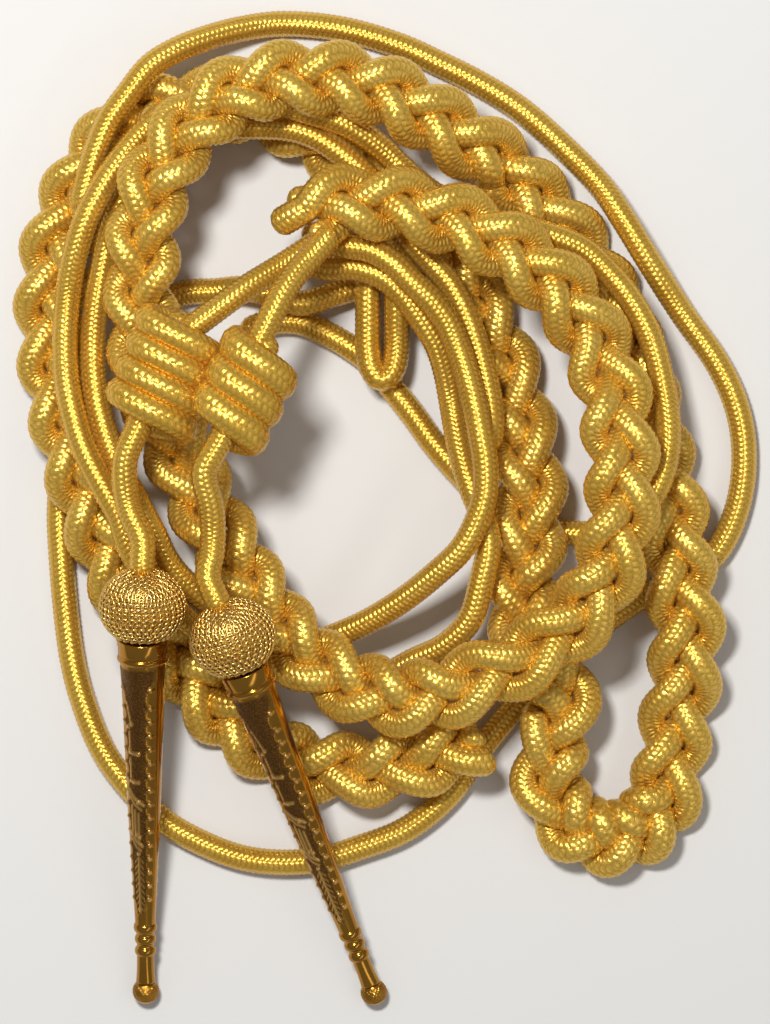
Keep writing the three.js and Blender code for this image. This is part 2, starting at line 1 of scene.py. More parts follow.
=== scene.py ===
# %% [markdown]
# # A gilt aiguillette, coiled on a table
# An aiguillette is the looped cord that is worn from the shoulder of a dress uniform. This one
# is gilt wire cord: one long three-strand plait, a few plain cords, two wound knots, and two
# netted balls with pointed brass tags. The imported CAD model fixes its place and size, and the
# surfaces here give it its strands, stitches and shine.

from functools import partial

import bpy
import numpy as np
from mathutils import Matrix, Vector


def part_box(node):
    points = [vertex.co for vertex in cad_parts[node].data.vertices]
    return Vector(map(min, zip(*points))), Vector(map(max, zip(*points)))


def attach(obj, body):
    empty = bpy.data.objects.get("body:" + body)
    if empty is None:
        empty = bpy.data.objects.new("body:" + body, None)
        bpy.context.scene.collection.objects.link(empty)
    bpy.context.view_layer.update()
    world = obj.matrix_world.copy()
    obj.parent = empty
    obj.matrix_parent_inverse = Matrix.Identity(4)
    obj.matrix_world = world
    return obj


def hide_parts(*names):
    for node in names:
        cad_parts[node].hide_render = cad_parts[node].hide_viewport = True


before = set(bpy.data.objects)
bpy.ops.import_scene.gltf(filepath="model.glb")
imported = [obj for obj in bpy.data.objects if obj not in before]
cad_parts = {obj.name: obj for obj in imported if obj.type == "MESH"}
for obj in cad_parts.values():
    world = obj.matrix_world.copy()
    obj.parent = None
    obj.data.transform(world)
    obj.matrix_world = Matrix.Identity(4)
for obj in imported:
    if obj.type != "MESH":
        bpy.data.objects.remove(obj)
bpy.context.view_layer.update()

# %% [markdown]
# ## Sizes
# A plain cord of such a piece is about 6.35 mm thick. The plait's strands are a little thinner,
# and swing from side to side as well as up and down. Everything else is worked out from these
# sizes, which are the CAD model's own, here in metres.

# %% Sizes in metres
MM = 0.001
CORD_RADIUS = 3.175 * MM
STRAND_WIDTH = 7.3 * MM
STRAND_THICKNESS = 5.6 * MM
PLAIT_WIDTH = 19.4 * MM
STRAND_SWING = (PLAIT_WIDTH - STRAND_WIDTH) / 2
STRAND_RISE = 2.8 * MM
STRAND_HOOK = 0.17
PLAIT_LEAN = 1.05 * MM
PLAIT_TURN_REACH = 20 * MM
PLAIT_TIGHT_BEND = 0.011 / MM
LAY_GAP = 0.45 * MM
JOINT_GAP = 0.3 * MM
CORD_GAP = 0.8 * MM
WALK_STEP = 2 * MM
STEEPEST_SLOPE = 0.45
EASING = 8 * MM
OWN_REACH = 4 / 3 * PLAIT_WIDTH
PLAIT_MEETING_HEIGHT = 11 * MM
KNOT_HALF_WIDTH = 10.5 * MM
KNOT_HALF_HEIGHT = 8 * MM
BALL_RADIUS = 10.6 * MM
BALL_HALF_LENGTH = 9.5 * MM
TAG_LENGTH = 101 * MM
COLLAR_LENGTH = 5.2 * MM
COLLAR_RADIUS = 6 * MM
BODY_TOP_RADIUS = 5.55 * MM
BODY_END = 80.9 * MM
BODY_END_RADIUS = 2.45 * MM
EDGE_SLOPE = 0.6 * MM
RING_RADII = np.array([2.85, 2.6, 2.6]) * MM
RING_LENGTH = 0.8 * MM
RING_SPACING = 3 * MM
NECK_RADIUS = 2.1 * MM
NECK_END_RADIUS = 2.4 * MM
END_BALL_RADIUS = 3.2 * MM
print("a strand swings", round(1000 * STRAND_SWING, 1), "mm to each side")

# %% [markdown]
# ## Routes
# A cord is a fixed length of something limp, so each one starts as the line that it takes on the
# table, seen from above. The points are the CAD model's, in millimetres about the middle of
# the photograph's frame, and a smooth curve goes through them.

# %% The plait's route
REAR_PLAIT = """
  23.5,-54.5 18.2,-57.1 11.5,-59.3 3.8,-61.7 -4.6,-62.6 -13,-62.6 -21.4,-61 -29.3,-56.4 -36.5,-50.9
  -43,-44.4 -49,-36.5 -55.7,-28.8 -61,-20.4 -66.2,-9.1 -71,3.6 -75.8,19.2 -79.2,34.6 -80.2,47.5
  -79.2,61.2 -74.6,75.1 -67,87.6 -57.4,95.5 -46.6,98.2 -37,97.9 -27.4,96 -17.3,91.9 -8.2,84.7
  0.2,76.3 8.6,67.7 16.6,57.6 23,47 28.1,36 32.2,21.6 34.8,7.2 34.8,-7.2 32.9,-19.2 34.3,-28.3
  38.9,-36 42.7,-43.2 42.5,-50.4 40.1,-57.1 39.6,-64.3 41.8,-71.5 47.3,-77.3 54.5,-79.4 61.4,-77.3
  66.7,-71.5 69.1,-62.9 70.1,-54 72.2,-42 73,-28.3 70.8,-13.2 68.6,1.7 65.3,15.6 62.6,26.4 60,36
  56.6,44.4 52.6,52.8 48.2,60.5 43.4,67.2 38.2,73.2 32.6,78.5 27.8,83.3"""
FRONT_PLAIT = """
  20.6,88.1 12.7,93.1 5,97.7 -3.4,101.3 -13,103.2 -22.6,103.2 -32.2,101.3 -41,96.5 -48.2,89.3
  -53.8,80.4 -56.9,70.8 -58.1,60 -58.3,50.4 -57.4,39.6 -55.4,30 -52.1,20.4 -48,11.3 -44.2,3.1
  -39.8,-5.3 -34.6,-14.4 -29,-23 -22.6,-31.2 -14.9,-37.9 -6.5,-42.5 2.6,-45.1 11.5,-44.4 20.6,-41.5
  30.2,-37.2 38.6,-32.4 45.4,-26.9 50.6,-20.4 54.2,-12 56.4,-2.9 57.1,5.5 56.6,14.4 55.7,24
  53.3,33.6 49.4,42.5 43.9,50.4 37.4,57.1 30.2,62.4 23,66.7 14.6,70.1 6.2,72.5 -2.2,73.7 -10.6,73.2
  -18.2,71"""

# %% The plain cords' routes
ROUTES = {
    "outer_loop": """
  -73,72.5 -71,80.4 -68.9,87.1 -65.8,94.1 -61.4,100.3 -56.2,106.8 -50.4,110.6 -44.2,113.3
  -34.6,116.2 -25,117.6 -10.6,116.4 3.8,112.3 13.4,108 23,103.2 32.6,97.2 42.5,88.6 52.5,78.2
  58,69.9 62.8,62 71.8,48.1 80.6,35.5 85,25.9 86.9,16.8 86.6,6 83.8,-4.1 79.4,-11.3 72.2,-16.3
  62.6,-20.9 51.8,-28.3 42.2,-37.2 32.6,-46.8 25.9,-54.5 21.1,-61 17,-67.2 11,-73.2 3.8,-78
  -5.8,-81.6 -15.4,-84.5 -25,-85.2 -34.6,-84 -44.2,-80.4 -52.6,-75.6 -62.2,-66.2 -68.2,-57.6
  -73,-45.6 -75.4,-36 -77,-24 -78,-12 -78.5,-2.4 -78.2,7.2""",
    "long_loop": """
  -19.4,67.7 -14.9,65 -9.4,63.4 -3.4,62.4 1.9,59.3 6.7,54.5 11.5,49.9 15.1,45.1 17.5,39.6 19.7,33.1
  21.6,25.9 23,18.7 24.2,11.5 24.2,4.3 22.3,-2.4 18.7,-9.1 13.4,-14.4 3.8,-22.1 -7,-28.3
  -17.8,-31.9 -27.4,-30.7 -37,-25.7 -45.4,-19.7 -51.8,-12.7 -55.7,-4.8 -59.8,2.9 -63.8,10.6
  -66,16.1 -67.9,22.1 -69.1,28.1 -69.8,35.3 -69.8,43.2 -69.1,51.1 -67.9,58.3 -66.5,64.8 -64.6,70.8
  -61,77.5 -56.2,84 -50.2,88.8 -41.3,91.7 -31,92.2 -22.6,91.7 -16.6,89.8 -9.4,85 -3.4,79.4 1.9,72.5
  6.7,64.8 11.5,59.3 15.6,54.7 18.7,49.2 21.1,43.2 23,37.2 24.7,30 25.7,22.8 25.4,14.4""",
    "second_loop": """
  -36.5,-34.8 -43,-30.2 -50.2,-24 -56.2,-16.8 -61,-8.9 -63.6,-1.2 -66.5,4.3 -69.4,9.6 -72.2,15.6
  -74.4,22.8 -76.1,31.2 -76.6,40.8 -76.1,50.4 -74.9,58.1 -73.2,64.8 -71,70.8 -68.6,75.6 -65.8,80.4
  -62.4,85.2 -58.6,90 -53.8,94.3 -46.6,97.7 -38.2,98.9 -28.6,98.2 -15.4,94.8 -8.2,92.2 -1,87.3
  5,81.6 11,76.6 19.2,72 27.4,68.9 37.4,66.7 47.5,62.9 53,58.1 59,50.9 63.8,42 66.7,31.7 68.2,21.6
  67.9,13.9 66.2,7.2 62.9,1.2 57.8,-2.9 51.8,-5.5 44.6,-5.5 37.4,-4.8 30.2,-1.2 23.5,3.8 17,10.3
  11.5,16.8 6.7,23.5 1.4,30.2 -2.9,35.3 -8.2,39.4 -14.9,43.2 -21.4,45.6 -28.6,45.1 -34.6,42.7""",
    "inner_cord": """
  -22.6,63.4 -19.4,60.5 -14.2,58.3 -7.7,58.3 -1,56.4 3.1,53.3 6.7,49 10.3,43.9 13,39.1 14.9,33.1
  16.3,25.9 17.5,18.7 19,11.5 21.1,4.8 23.5,-1.2 25,-8.4 23.5,-16.8 20.6,-26.4 14.6,-32.6 6.7,-36.5
  0.2,-40.3""",
    "tie_cord": """
  -54.2,50.4 -47.8,52.6 -40.6,53 -34.1,53.5 -26.9,52.1 -20.2,49.9 -13,51.8 -6.2,54 0.2,56.4""",
    "button_loop": """
  -3.9,59.5 -3.9,52.8 -3.9,45.6 -3.8,38.4 -2.8,33.8 -0.4,31.6 2,33.8 3,38.4 3.1,45.6 3.1,52.8
  3.1,58""",
    "left_lead": "-18.4,62.2 -23,59.2 -26.8,56.8 -33.1,52.8 -41.2,46.8",
    "right_lead": "-15.6,62.5 -18.1,59.6 -20.4,57 -23.6,52.3 -28.2,43.3",
}
# what the cord from each knot to its ball goes by
DROP_POINTS = {"left": "-61,1", "right": "-41,0 -41,-10"}


def points(text):
    """The points of a route, from pairs of millimetres, as an array in metres."""
    return np.array([pair.split(",") for pair in text.split()], float) * MM


print("plait has", len(points(REAR_PLAIT)) + len(points(FRONT_PLAIT)), "points")

# %% [markdown]
# ## Smooth curves
# Centripetal Catmull-Rom curves pass through every point without overshooting, even where the
# points are unevenly spaced, so they suit a limp cord.


# %% A smooth curve through points
def smooth(route, per_span):
    """Points on a curve through the route, and the route's own number at each. Each span is the
    cubic whose ends have the slopes that its neighbours give, weighted by the square roots of
    the distances between the points."""
    padded = np.vstack([2 * route[0] - route[1], route, 2 * route[-1] - route[-2]])
    before, start, end, after = (padded[i : len(route) - 1 + i] for i in range(4))
    d0, d1, d2 = (
        np.maximum(((b - a) ** 2).sum(1) ** 0.25, 1e-9)[:, None]
        for a, b in ((before, start), (start, end), (end, after))
    )
    slope0 = d1 * ((start - before) / d0 - (end - before) / (d0 + d1) + (end - start) / d1)
    slope1 = d1 * ((end - start) / d1 - (after - start) / (d1 + d2) + (after - end) / d2)
    t = (np.arange(per_span) / per_span)[None, :, None]
    s, e, m0, m1 = (a[:, None, :] for a in (start, end, slope0, slope1))
    cubic = s + m0 * t + (3 * (e - s) - 2 * m0 - m1) * t**2 + (2 * (s - e) + m0 + m1) * t**3
    line = np.vstack([cubic.reshape(-1, route.shape[1]), route[-1:]])
    return line, np.arange(len(line)) / per_span


def distances(line):
    """The distance along a line of points, at each of them."""
    return np.concatenate([[0], np.cumsum(np.linalg.norm(np.diff(line, axis=0), axis=1))])


def at(line, along, where):
    """The points at given distances along a line."""
    return np.stack([np.interp(where, along, column) for column in line.T], axis=-1)


# %% [markdown]
# ## Laying the cords
# The heights follow from the order in which the pieces were put down. Each run rests on the
# runs beneath it, comes down from a crossing in a low hump, and is never steeper than a limp
# cord would lie. It is the CAD model's own rule, so that every piece lands on its solid.

# %% A run, and how it presses on others
CORD_OUTLINE = {"flat": 0.0, "shoulder": CORD_RADIUS, "height": CORD_RADIUS, "hump": 30 * MM}
PLAIT_OUTLINE = {
    "flat": STRAND_SWING * 0.5**0.5,
    "shoulder": STRAND_SWING + STRAND_WIDTH / 2 - STRAND_SWING * 0.5**0.5,
    "height": STRAND_RISE + PLAIT_LEAN * 0.5**0.5 + STRAND_THICKNESS / 2,
    "hump": 45 * MM,
}
laid = []


def walk(route, outline):
    """A run: equal steps along the smooth curve through a route, with no heights yet."""
    line, number = smooth(route, 24)
    along = distances(line)
    where = np.linspace(0, along[-1], round(along[-1] / WALK_STEP) + 1)
    plan = at(line, along, where)
    number = np.interp(where, along, number)
    height = np.full(len(plan), np.nan)
    return {"plan": plan, "along": where, "number": number, "z": height, "outline": outline}


def clear_height(place, along, outline, others, run=None):
    """The least height at which each place clears all the others: two elliptical shoulders
    touch where the height is their sum times the root of one less the squared share of the
    distance between them."""
    height = np.full(len(place), outline["height"])
    for other in others:
        theirs = other["outline"]
        flat, shoulder, touch = (outline[key] + theirs[key] for key in ("flat", "shoulder", "height"))
        shoulder, touch = shoulder + LAY_GAP, touch + LAY_GAP
        away = np.linalg.norm(place[:, None] - other["plan"][None], axis=2) - flat
        share = np.sqrt(np.clip(1 - (np.maximum(away, 0) / shoulder) ** 2, 0, None))
        need = other["z"][None] + touch * share
        need[away >= shoulder] = 0
        if run is not None and other["run"] is run:
            need[np.abs(along[:, None] - other["along"][None]) < OWN_REACH] = 0
        height = np.maximum(height, need.max(axis=1))
    return height


def drop(distance, hump):
    """How far a run has come down, at a distance from what holds it up."""
    bend = STEEPEST_SLOPE * hump
    return np.where(
        distance < bend, distance**2 / (2 * hump), STEEPEST_SLOPE * (distance - bend / 2)
    )


def lay(run, first=0, last=np.inf, start_height=0, end_height=0, split_height=0, on=laid):
    """Gives a stretch of a run its heights: the highest of all that holds it up, averaged over
    a short length with raised-cosine weights."""
    along, z = run["along"], run["z"]
    new = np.isnan(z) & (run["number"] >= first - 1e-9) & (run["number"] <= last + 1e-9)
    old = ~np.isnan(z)
    least = clear_height(run["plan"][new], along[new], run["outline"], on, run)
    hold_at = np.concatenate([along[old], along[new], [0, along[-1], along[new][-1]]])
    hold = np.concatenate([z[old], least, [start_height, end_height, split_height]])
    raised = (hold - drop(np.abs(along[:, None] - hold_at), run["outline"]["hump"])).max(1)
    raised[old] = z[old]
    share = np.abs(along[new][:, None] - along) / EASING
    weight = np.where(share < 1, 1 + np.cos(np.pi * np.minimum(share, 1)), 0)
    z[new] = (weight * raised).sum(1) / weight.sum(1)
    stretch = {"plan": run["plan"][new], "along": along[new], "z": z[new].copy()}
    laid.append(stretch | {"outline": run["outline"], "run": run})


# %% The order of laying
# first and last are the numbers of the points of a route between which its run is laid
plait = walk(np.vstack([points(REAR_PLAIT), points(FRONT_PLAIT)]), PLAIT_OUTLINE)
runs = {name: walk(points(route), CORD_OUTLINE) for name, route in ROUTES.items()}
lay(runs["outer_loop"], first=22)
lay(runs["second_loop"], first=42, last=50)
lay(plait, last=len(points(REAR_PLAIT)) - 1, split_height=PLAIT_MEETING_HEIGHT)
lay(runs["outer_loop"])
lay(runs["long_loop"], first=20)
lay(runs["second_loop"], last=42)
for name in ("second_loop", "tie_cord", "button_loop", "inner_cord", "long_loop"):
    lay(runs[name])
lay(plait)
print("plait is highest at", round(1000 * plait["z"].max(), 1), "mm")

# %% [markdown]
# ## Knots, balls and tags
# A wound knot is rigid, so it rests level on the highest thing beneath it. A ball and its tag
# are rigid too: together they lean on what they cross, with the tag's tip on the table.


# %% Where the knots and pendants rest
def heading(degrees):
    """The direction of an angle, seen from above."""
    return np.array([np.cos(np.radians(degrees)), np.sin(np.radians(degrees))])


# The left knot's wraps go on under the right knot's, so they are wider and set to that side.
KNOTS = {
    "left": {
        "centre": np.array([-53.6, 33]) * MM, "angle": 249, "turns": 4, "pitch": 6.2 * MM,
        "wider": 1.8 * MM, "aside": 1.8 * MM,
    },
    "right": {
        "centre": np.array([-33.1, 28.4]) * MM, "angle": 243.5, "turns": 3, "pitch": 7.3 * MM,
        "wider": 0.3 * MM, "aside": 0.0,
    },
}
BALLS = {
    "left": {"centre": np.array([-57.6, -23]) * MM, "angle": 270},
    "right": {"centre": np.array([-36.2, -30.5]) * MM, "angle": 291.4},
}
KNOT_OUTLINE = {"flat": 0.0, "shoulder": KNOT_HALF_WIDTH, "height": KNOT_HALF_HEIGHT}


def rest_knot(knot, others):
    """Rests a knot level on the others, and returns the points that stand for it. A turn is as
    wide as the pitch, so the knot is one pitch longer than its turns."""
    knot["half_length"] = (knot["turns"] + 1) * knot["pitch"] / 2
    reach = knot["half_length"] - KNOT_HALF_WIDTH / 2
    places = knot["centre"] + np.linspace(-reach, reach, 9)[:, None] * heading(knot["angle"])
    knot["z"] = clear_height(places, None, KNOT_OUTLINE, others).max()
    return {"plan": places, "z": np.full(9, knot["z"]), "outline": KNOT_OUTLINE, "run": None}


rest_knot(KNOTS["right"], [*laid, rest_knot(KNOTS["left"], laid)])
print("knots at", [round(1000 * knot["z"], 1) for knot in KNOTS.values()], "mm")

# %% The tag's profile and lean
COLLAR_START = BALL_HALF_LENGTH * np.sqrt(1 - (COLLAR_RADIUS / BALL_RADIUS) ** 2) + JOINT_GAP
RINGS_END = BODY_END + RING_SPACING * (len(RING_RADII) - 1) + RING_LENGTH + EDGE_SLOPE
profile = [
    [COLLAR_START, COLLAR_RADIUS],
    [COLLAR_START + COLLAR_LENGTH, COLLAR_RADIUS],
    [COLLAR_START + COLLAR_LENGTH + EDGE_SLOPE, BODY_TOP_RADIUS],
    [0.32 * BODY_END, 0.89 * BODY_TOP_RADIUS],
    [0.64 * BODY_END, 0.71 * BODY_TOP_RADIUS],
]
for i, radius in enumerate(RING_RADII):
    start = BODY_END + i * RING_SPACING
    profile += [
        [start - EDGE_SLOPE, NECK_RADIUS if i else BODY_END_RADIUS],
        [start, radius],
        [start + RING_LENGTH, radius],
        [start + RING_LENGTH + EDGE_SLOPE, NECK_RADIUS],
    ]
profile += [
    [(RINGS_END + TAG_LENGTH - 2 * END_BALL_RADIUS) / 2, NECK_RADIUS],
    [TAG_LENGTH - 1.88 * END_BALL_RADIUS, NECK_END_RADIUS],
]
TAG_PROFILE = np.array(profile)


def rest_pendant(ball):
    """Finds the ball's height, and the level share of its axis, by leaning it till it clears
    every run: the tip stays on the table, so a need part of the way along is scaled up to
    the ball."""
    tip_away = TAG_LENGTH - END_BALL_RADIUS
    away = np.arange(0, tip_away, WALK_STEP)
    round_ball = BALL_RADIUS * np.sqrt(np.clip(1 - (away / BALL_HALF_LENGTH) ** 2, 0, 1))
    round_ball = np.maximum(round_ball, COLLAR_RADIUS)
    radius = np.where(away < COLLAR_START, round_ball, np.interp(away, *TAG_PROFILE.T))
    ball["z"] = BALL_RADIUS
    for _ in range(4):
        level = np.sqrt(1 - ((ball["z"] - END_BALL_RADIUS) / tip_away) ** 2)
        height = BALL_RADIUS
        for d, r in zip(away, radius):
            place = (ball["centre"] + heading(ball["angle"]) * d * level)[None]
            outline = {"flat": 0.0, "shoulder": r, "height": r}
            need = clear_height(place, None, outline, laid)[0]
            share = d / tip_away
            height = max(height, (need - END_BALL_RADIUS * share) / (1 - share))
        ball["z"] = height
    ball["level"] = np.sqrt(1 - ((ball["z"] - END_BALL_RADIUS) / tip_away) ** 2)


for ball in BALLS.values():
    rest_pendant(ball)
print("balls at", [round(1000 * ball["z"], 1) for ball in BALLS.values()], "mm")


# %% The cords between the plait, knots and balls
def below_knot(knot):
    """A cord's first two points below a knot."""
    near = knot["half_length"] + CORD_GAP
    reach = np.array([near, near + 2 * CORD_RADIUS])
    return knot["centre"] + reach[:, None] * heading(knot["angle"])


def ball_top(ball):
    """A cord's last two points at the top of a ball, and its height there."""
    near = BALL_HALF_LENGTH + CORD_GAP
    reach = np.array([near + 2 * CORD_RADIUS, near]) * ball["level"]
    plan = ball["centre"] - reach[:, None] * heading(ball["angle"])
    return plan, ball["z"] + near * np.sqrt(1 - ball["level"] ** 2)


beside_plait = [stretch for stretch in laid if stretch["run"] is not plait]
lay(runs["right_lead"], end_height=KNOTS["right"]["z"], on=beside_plait)
under_lead = runs["right_lead"]["z"][0] - 2 * CORD_RADIUS
lay(runs["left_lead"], start_height=under_lead, end_height=KNOTS["left"]["z"], on=beside_plait)
for side, knot in KNOTS.items():
    top, top_height = ball_top(BALLS[side])
    route = np.vstack([below_knot(knot), points(DROP_POINTS[side]), top])
    runs[side + "_drop"] = walk(route, CORD_OUTLINE)
    lay(runs[side + "_drop"], start_height=knot["z"], end_height=top_height)

# %% [markdown]
# ## The shared frame
# The routes count from the middle of the photograph, and the CAD model from the middle of its
# box. A tag's box shows how far apart the two are, because its axis and its tip are known.

# %% From the photograph's middle to the model's origin
tag_low, tag_high = (np.array(corner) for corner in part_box("left_tag"))
ball = BALLS["left"]
tip = ball["centre"][1] - (TAG_LENGTH - END_BALL_RADIUS) * ball["level"] - END_BALL_RADIUS
SHIFT = np.array([(tag_low[0] + tag_high[0]) / 2 - ball["centre"][0], tag_low[1] - tip, 0])
print("shift in mm:", np.round(1000 * SHIFT, 2))


def middle(run):
    """The line down the middle of a run as it lies, in the model's frame."""
    return np.column_stack([run["plan"], run["z"]]) + SHIFT


# %% [markdown]
# ## Camera
# The photograph looks straight down. A long lens from far above keeps the upper pieces over the
# lower ones, as the routes were taken, and 0.24 mm of the object is one pixel.

# %% The camera above the coil
PIXEL = 0.24 * MM
PICTURE = (770, 1024)
MIDDLE_PIXEL = (384, 510)  # the routes count from here
CAMERA_HEIGHT = 2.2
MIDDLE_HEIGHT = 20 * MM  # a pixel is its own size at this height
SENSOR = 24


def in_scene(name, data):
    """A new object at the origin, linked to the scene."""
    made = bpy.data.objects.new(name, data)
    bpy.context.scene.collection.objects.link(made)
    return made


lens = bpy.data.cameras.new("camera")
lens.sensor_fit = "VERTICAL"
lens.sensor_height = SENSOR
lens.lens = SENSOR * (CAMERA_HEIGHT - MIDDLE_HEIGHT) / (PICTURE[1] * PIXEL)
lens.clip_end = 20
camera = in_scene("camera", lens)
camera.location = (
    SHIFT[0] + (PICTURE[0] / 2 - MIDDLE_PIXEL[0]) * PIXEL,
    SHIFT[1] + (MIDDLE_PIXEL[1] - PICTURE[1] / 2) * PIXEL,
    CAMERA_HEIGHT,
)
bpy.context.scene.camera = camera
print("lens", round(lens.lens), "mm")

# %% [markdown]
# ## Skins
# Every new surface is a grid of points: rings along a path, each closed round on itself. The
# faces between neighbouring rings follow from counting, so whole arrays make them.


# %% Surfaces from grids of points
def ring_faces(rings, corners, closed=False):
    """The four-cornered faces between neighbouring rings of points, which are counted ring by
    ring. Each ring is closed round on itself, and closed joins the last ring to the first."""
    last = rings if closed else rings - 1
    ring, corner = np.meshgrid(np.arange(last), np.arange(corners), indexing="ij")
    here, onward, after = ring * corners, (ring + 1) % rings * corners, (corner + 1) % corners
    faces = [here + corner, here + after, onward + after, onward + corner]
    return np.stack(faces, axis=-1).reshape(-1, 4)


def joined(*columns):
    """Coordinates as the last axis of one array, each spread over the shape that all share."""
    return np.stack(np.broadcast_arrays(*columns), axis=-1)


def uv_grid(along, columns):
    """A map for a grid: the given values along it, and the share of a turn around it."""
    return joined(along[:, None], np.arange(columns + 1) / columns)


def riding(name, mesh, material):
    """A piece that rides on the body, made of a mesh, with a smooth look and its material."""
    mesh.shade_smooth()
    mesh.materials.append(material)
    piece = in_scene(name, mesh)
    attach(piece, "root")
    return piece


def skin(name, grid, uv, material):
    """A piece from rings of points, grid[ring, corner], closed round each ring, with one
    many-sided face over each end. uv[ring, corner] has one corner more than a ring, so that the
    pattern closes without a smear."""
    rings, corners = grid.shape[:2]
    quads = ring_faces(rings, corners)
    quad_uv = np.stack([uv[:-1, :-1], uv[:-1, 1:], uv[1:, 1:], uv[1:, :-1]], axis=-2)
    caps = [np.arange(corners)[::-1], (rings - 1) * corners + np.arange(corners)]
    loops = np.concatenate([quads.ravel(), *caps])
    loop_uv = np.concatenate([quad_uv.reshape(-1, 2), uv[0, :corners][::-1], uv[-1, :corners]])
    starts = np.concatenate([np.arange(len(quads)) * 4, len(quads) * 4 + np.arange(2) * corners])
    mesh = bpy.data.meshes.new(name)
    mesh.vertices.add(rings * corners)
    mesh.vertices.foreach_set("co", grid.ravel().astype(np.float32))
    mesh.loops.add(len(loops))
    mesh.loops.foreach_set("vertex_index", loops.astype(np.int32))
    mesh.polygons.add(len(starts))
    mesh.polygons.foreach_set("loop_start", starts.astype(np.int32))
    layer = mesh.uv_layers.new(name="pattern")
    layer.data.foreach_set("uv", loop_uv.ravel().astype(np.float32))
    mesh.update(calc_edges=True)
    mesh.validate()
    return riding(name, mesh, material)


def unit(vectors):
    """Vectors scaled to length one."""
    return vectors / np.linalg.norm(vectors, axis=-1, keepdims=True)


def sides_of(path):
    """Two directions square to a path at each of its points: to the right, level, and up."""
    ahead = unit(np.gradient(path, axis=0))
    up = unit(np.array([0, 0, 1.0]) - ahead * ahead[:, 2:])
    return np.cross(ahead, up), up


def lengthened(line, before, after):
    """A line carried on straight past its ends, by the two lengths."""
    first = line[0] + unit(line[0] - line[1]) * before
    last = line[-1] + unit(line[-1] - line[-2]) * after
    return np.vstack([[first] if before else line[:0], line, [last] if after else line[:0]])


def triangles(piece):
    """The number of triangles in a piece."""
    return sum(len(polygon.vertices) - 2 for polygon in piece.data.polygons)


# %% [markdown]
# ## The braid on a cord
# Gilt wire thread is braided round a soft core. Its stitches stand in rows along the cord, and
# lean one way in one row and the other way in the next, which makes a herringbone. A stitch is a
# small bead, so light falls on it as a row of bright dots. The larger form of the beads is in the
# mesh, and the material carries on with the wires that are too fine for it.

# %% The relief of the stitches
STITCH = 1.3 * MM
STITCH_ROWS = 10
STITCH_LEAN = 0.3
STITCH_POWER = 1.3
STITCH_DEPTH = 0.18 * MM
STEPS_PER_STITCH = 4
CORNERS = 2 * STITCH_ROWS
TURN = 2 * np.pi * np.arange(CORNERS) / CORNERS


def stitch_height(x, y):
    """The height of the braid from 0 in a groove to 1 on a stitch, from the count of stitches
    along, x, and of rows around, y: the sine of the way along a stitch, leaning with its row,
    times an arch across the row."""
    row = np.floor(y)
    across = y - row - 0.5
    odd = row % 2
    along = x + STITCH_LEAN * across * (1 - 2 * odd) + 0.5 * odd
    return np.abs(np.sin(np.pi * along)) ** STITCH_POWER * (1 - 4 * across**2)


def braid(total):
    """The braid on a cord of a given length: where its rings of points are, how deep each point
    sits in a groove, and the pattern's map, in stitches along and rows around."""
    where = np.linspace(0, total, int(total / STITCH * STEPS_PER_STITCH) + 1)
    along = where[:, None] / STITCH
    rows = np.arange(CORNERS + 1)[None] / 2 + 0.5
    groove = STITCH_DEPTH * (1 - stitch_height(along, rows[:, :-1] % STITCH_ROWS))
    return where, groove, joined(along, rows)


def braided_tube(name, line, width, thickness, material):
    """A cord round a line: at each step an oval ring square to the line, drawn in by the depth
    of the grooves, and at both ends as a ball draws in."""
    total = distances(line)[-1]
    where, groove, uv = braid(total)
    path = at(line, distances(line), where)
    right, up = sides_of(path)
    share = np.clip(1 - 2 * np.minimum(where, total - where) / thickness, 0, 1)
    draw_in = np.sqrt(np.clip(1 - share**2, 0.01, 1))[:, None]
    reach_right = ((width / 2 - groove) * draw_in * np.cos(TURN))[..., None]
    reach_up = ((thickness / 2 - groove) * draw_in * -np.sin(TURN))[..., None]
    grid = path[:, None] + reach_right * right[:, None] + reach_up * up[:, None]
    return skin(name, grid, uv, material), path


# %% [markdown]
# ## Materials: helpers
# One function turns the sRGB colours of a picture into the linear ones that Blender mixes, and
# one adds a node with its settings and links.


# %% Colours and nodes
def colour(code):
    """The linear colour of an sRGB hex value."""
    values = [int(code[i : i + 2], 16) / 255 for i in (1, 3, 5)]
    return [v / 12.92 if v <= 0.04045 else ((v + 0.055) / 1.055) ** 2.4 for v in values] + [1]


def node(tree, kind, *values, output=None, **named):
    """Adds a node and returns one of its outputs, the first open one if none is named. kind is
    its type, and its operation if it has one. values go to its open sockets in order. A lower-case
    name is one of its settings, and any other is a socket, with _ for a space. A socket is given a
    constant or another node's output."""
    kind, *operation = kind.split()
    made = tree.nodes.new("ShaderNode" + kind)
    if operation:
        made.operation = operation[0]
    for key in [key for key in named if key.islower()]:
        setattr(made, key, named.pop(key))
    given = list(zip([socket for socket in made.inputs if socket.enabled], values))
    given += [(made.inputs[key.replace("_", " ")], value) for key, value in named.items()]
    for socket, value in given:
        if isinstance(value, bpy.types.NodeSocket):
            tree.links.new(value, socket)
        else:
            socket.default_value = value
    return made.outputs[output] if output else next((s for s in made.outputs if s.enabled), None)


def new_material(name):
    """A material with an empty node tree, and the function that adds nodes to that tree."""
    material = bpy.data.materials.new(name)
    material.use_nodes = True
    material.node_tree.nodes.clear()
    return material, partial(node, material.node_tree)
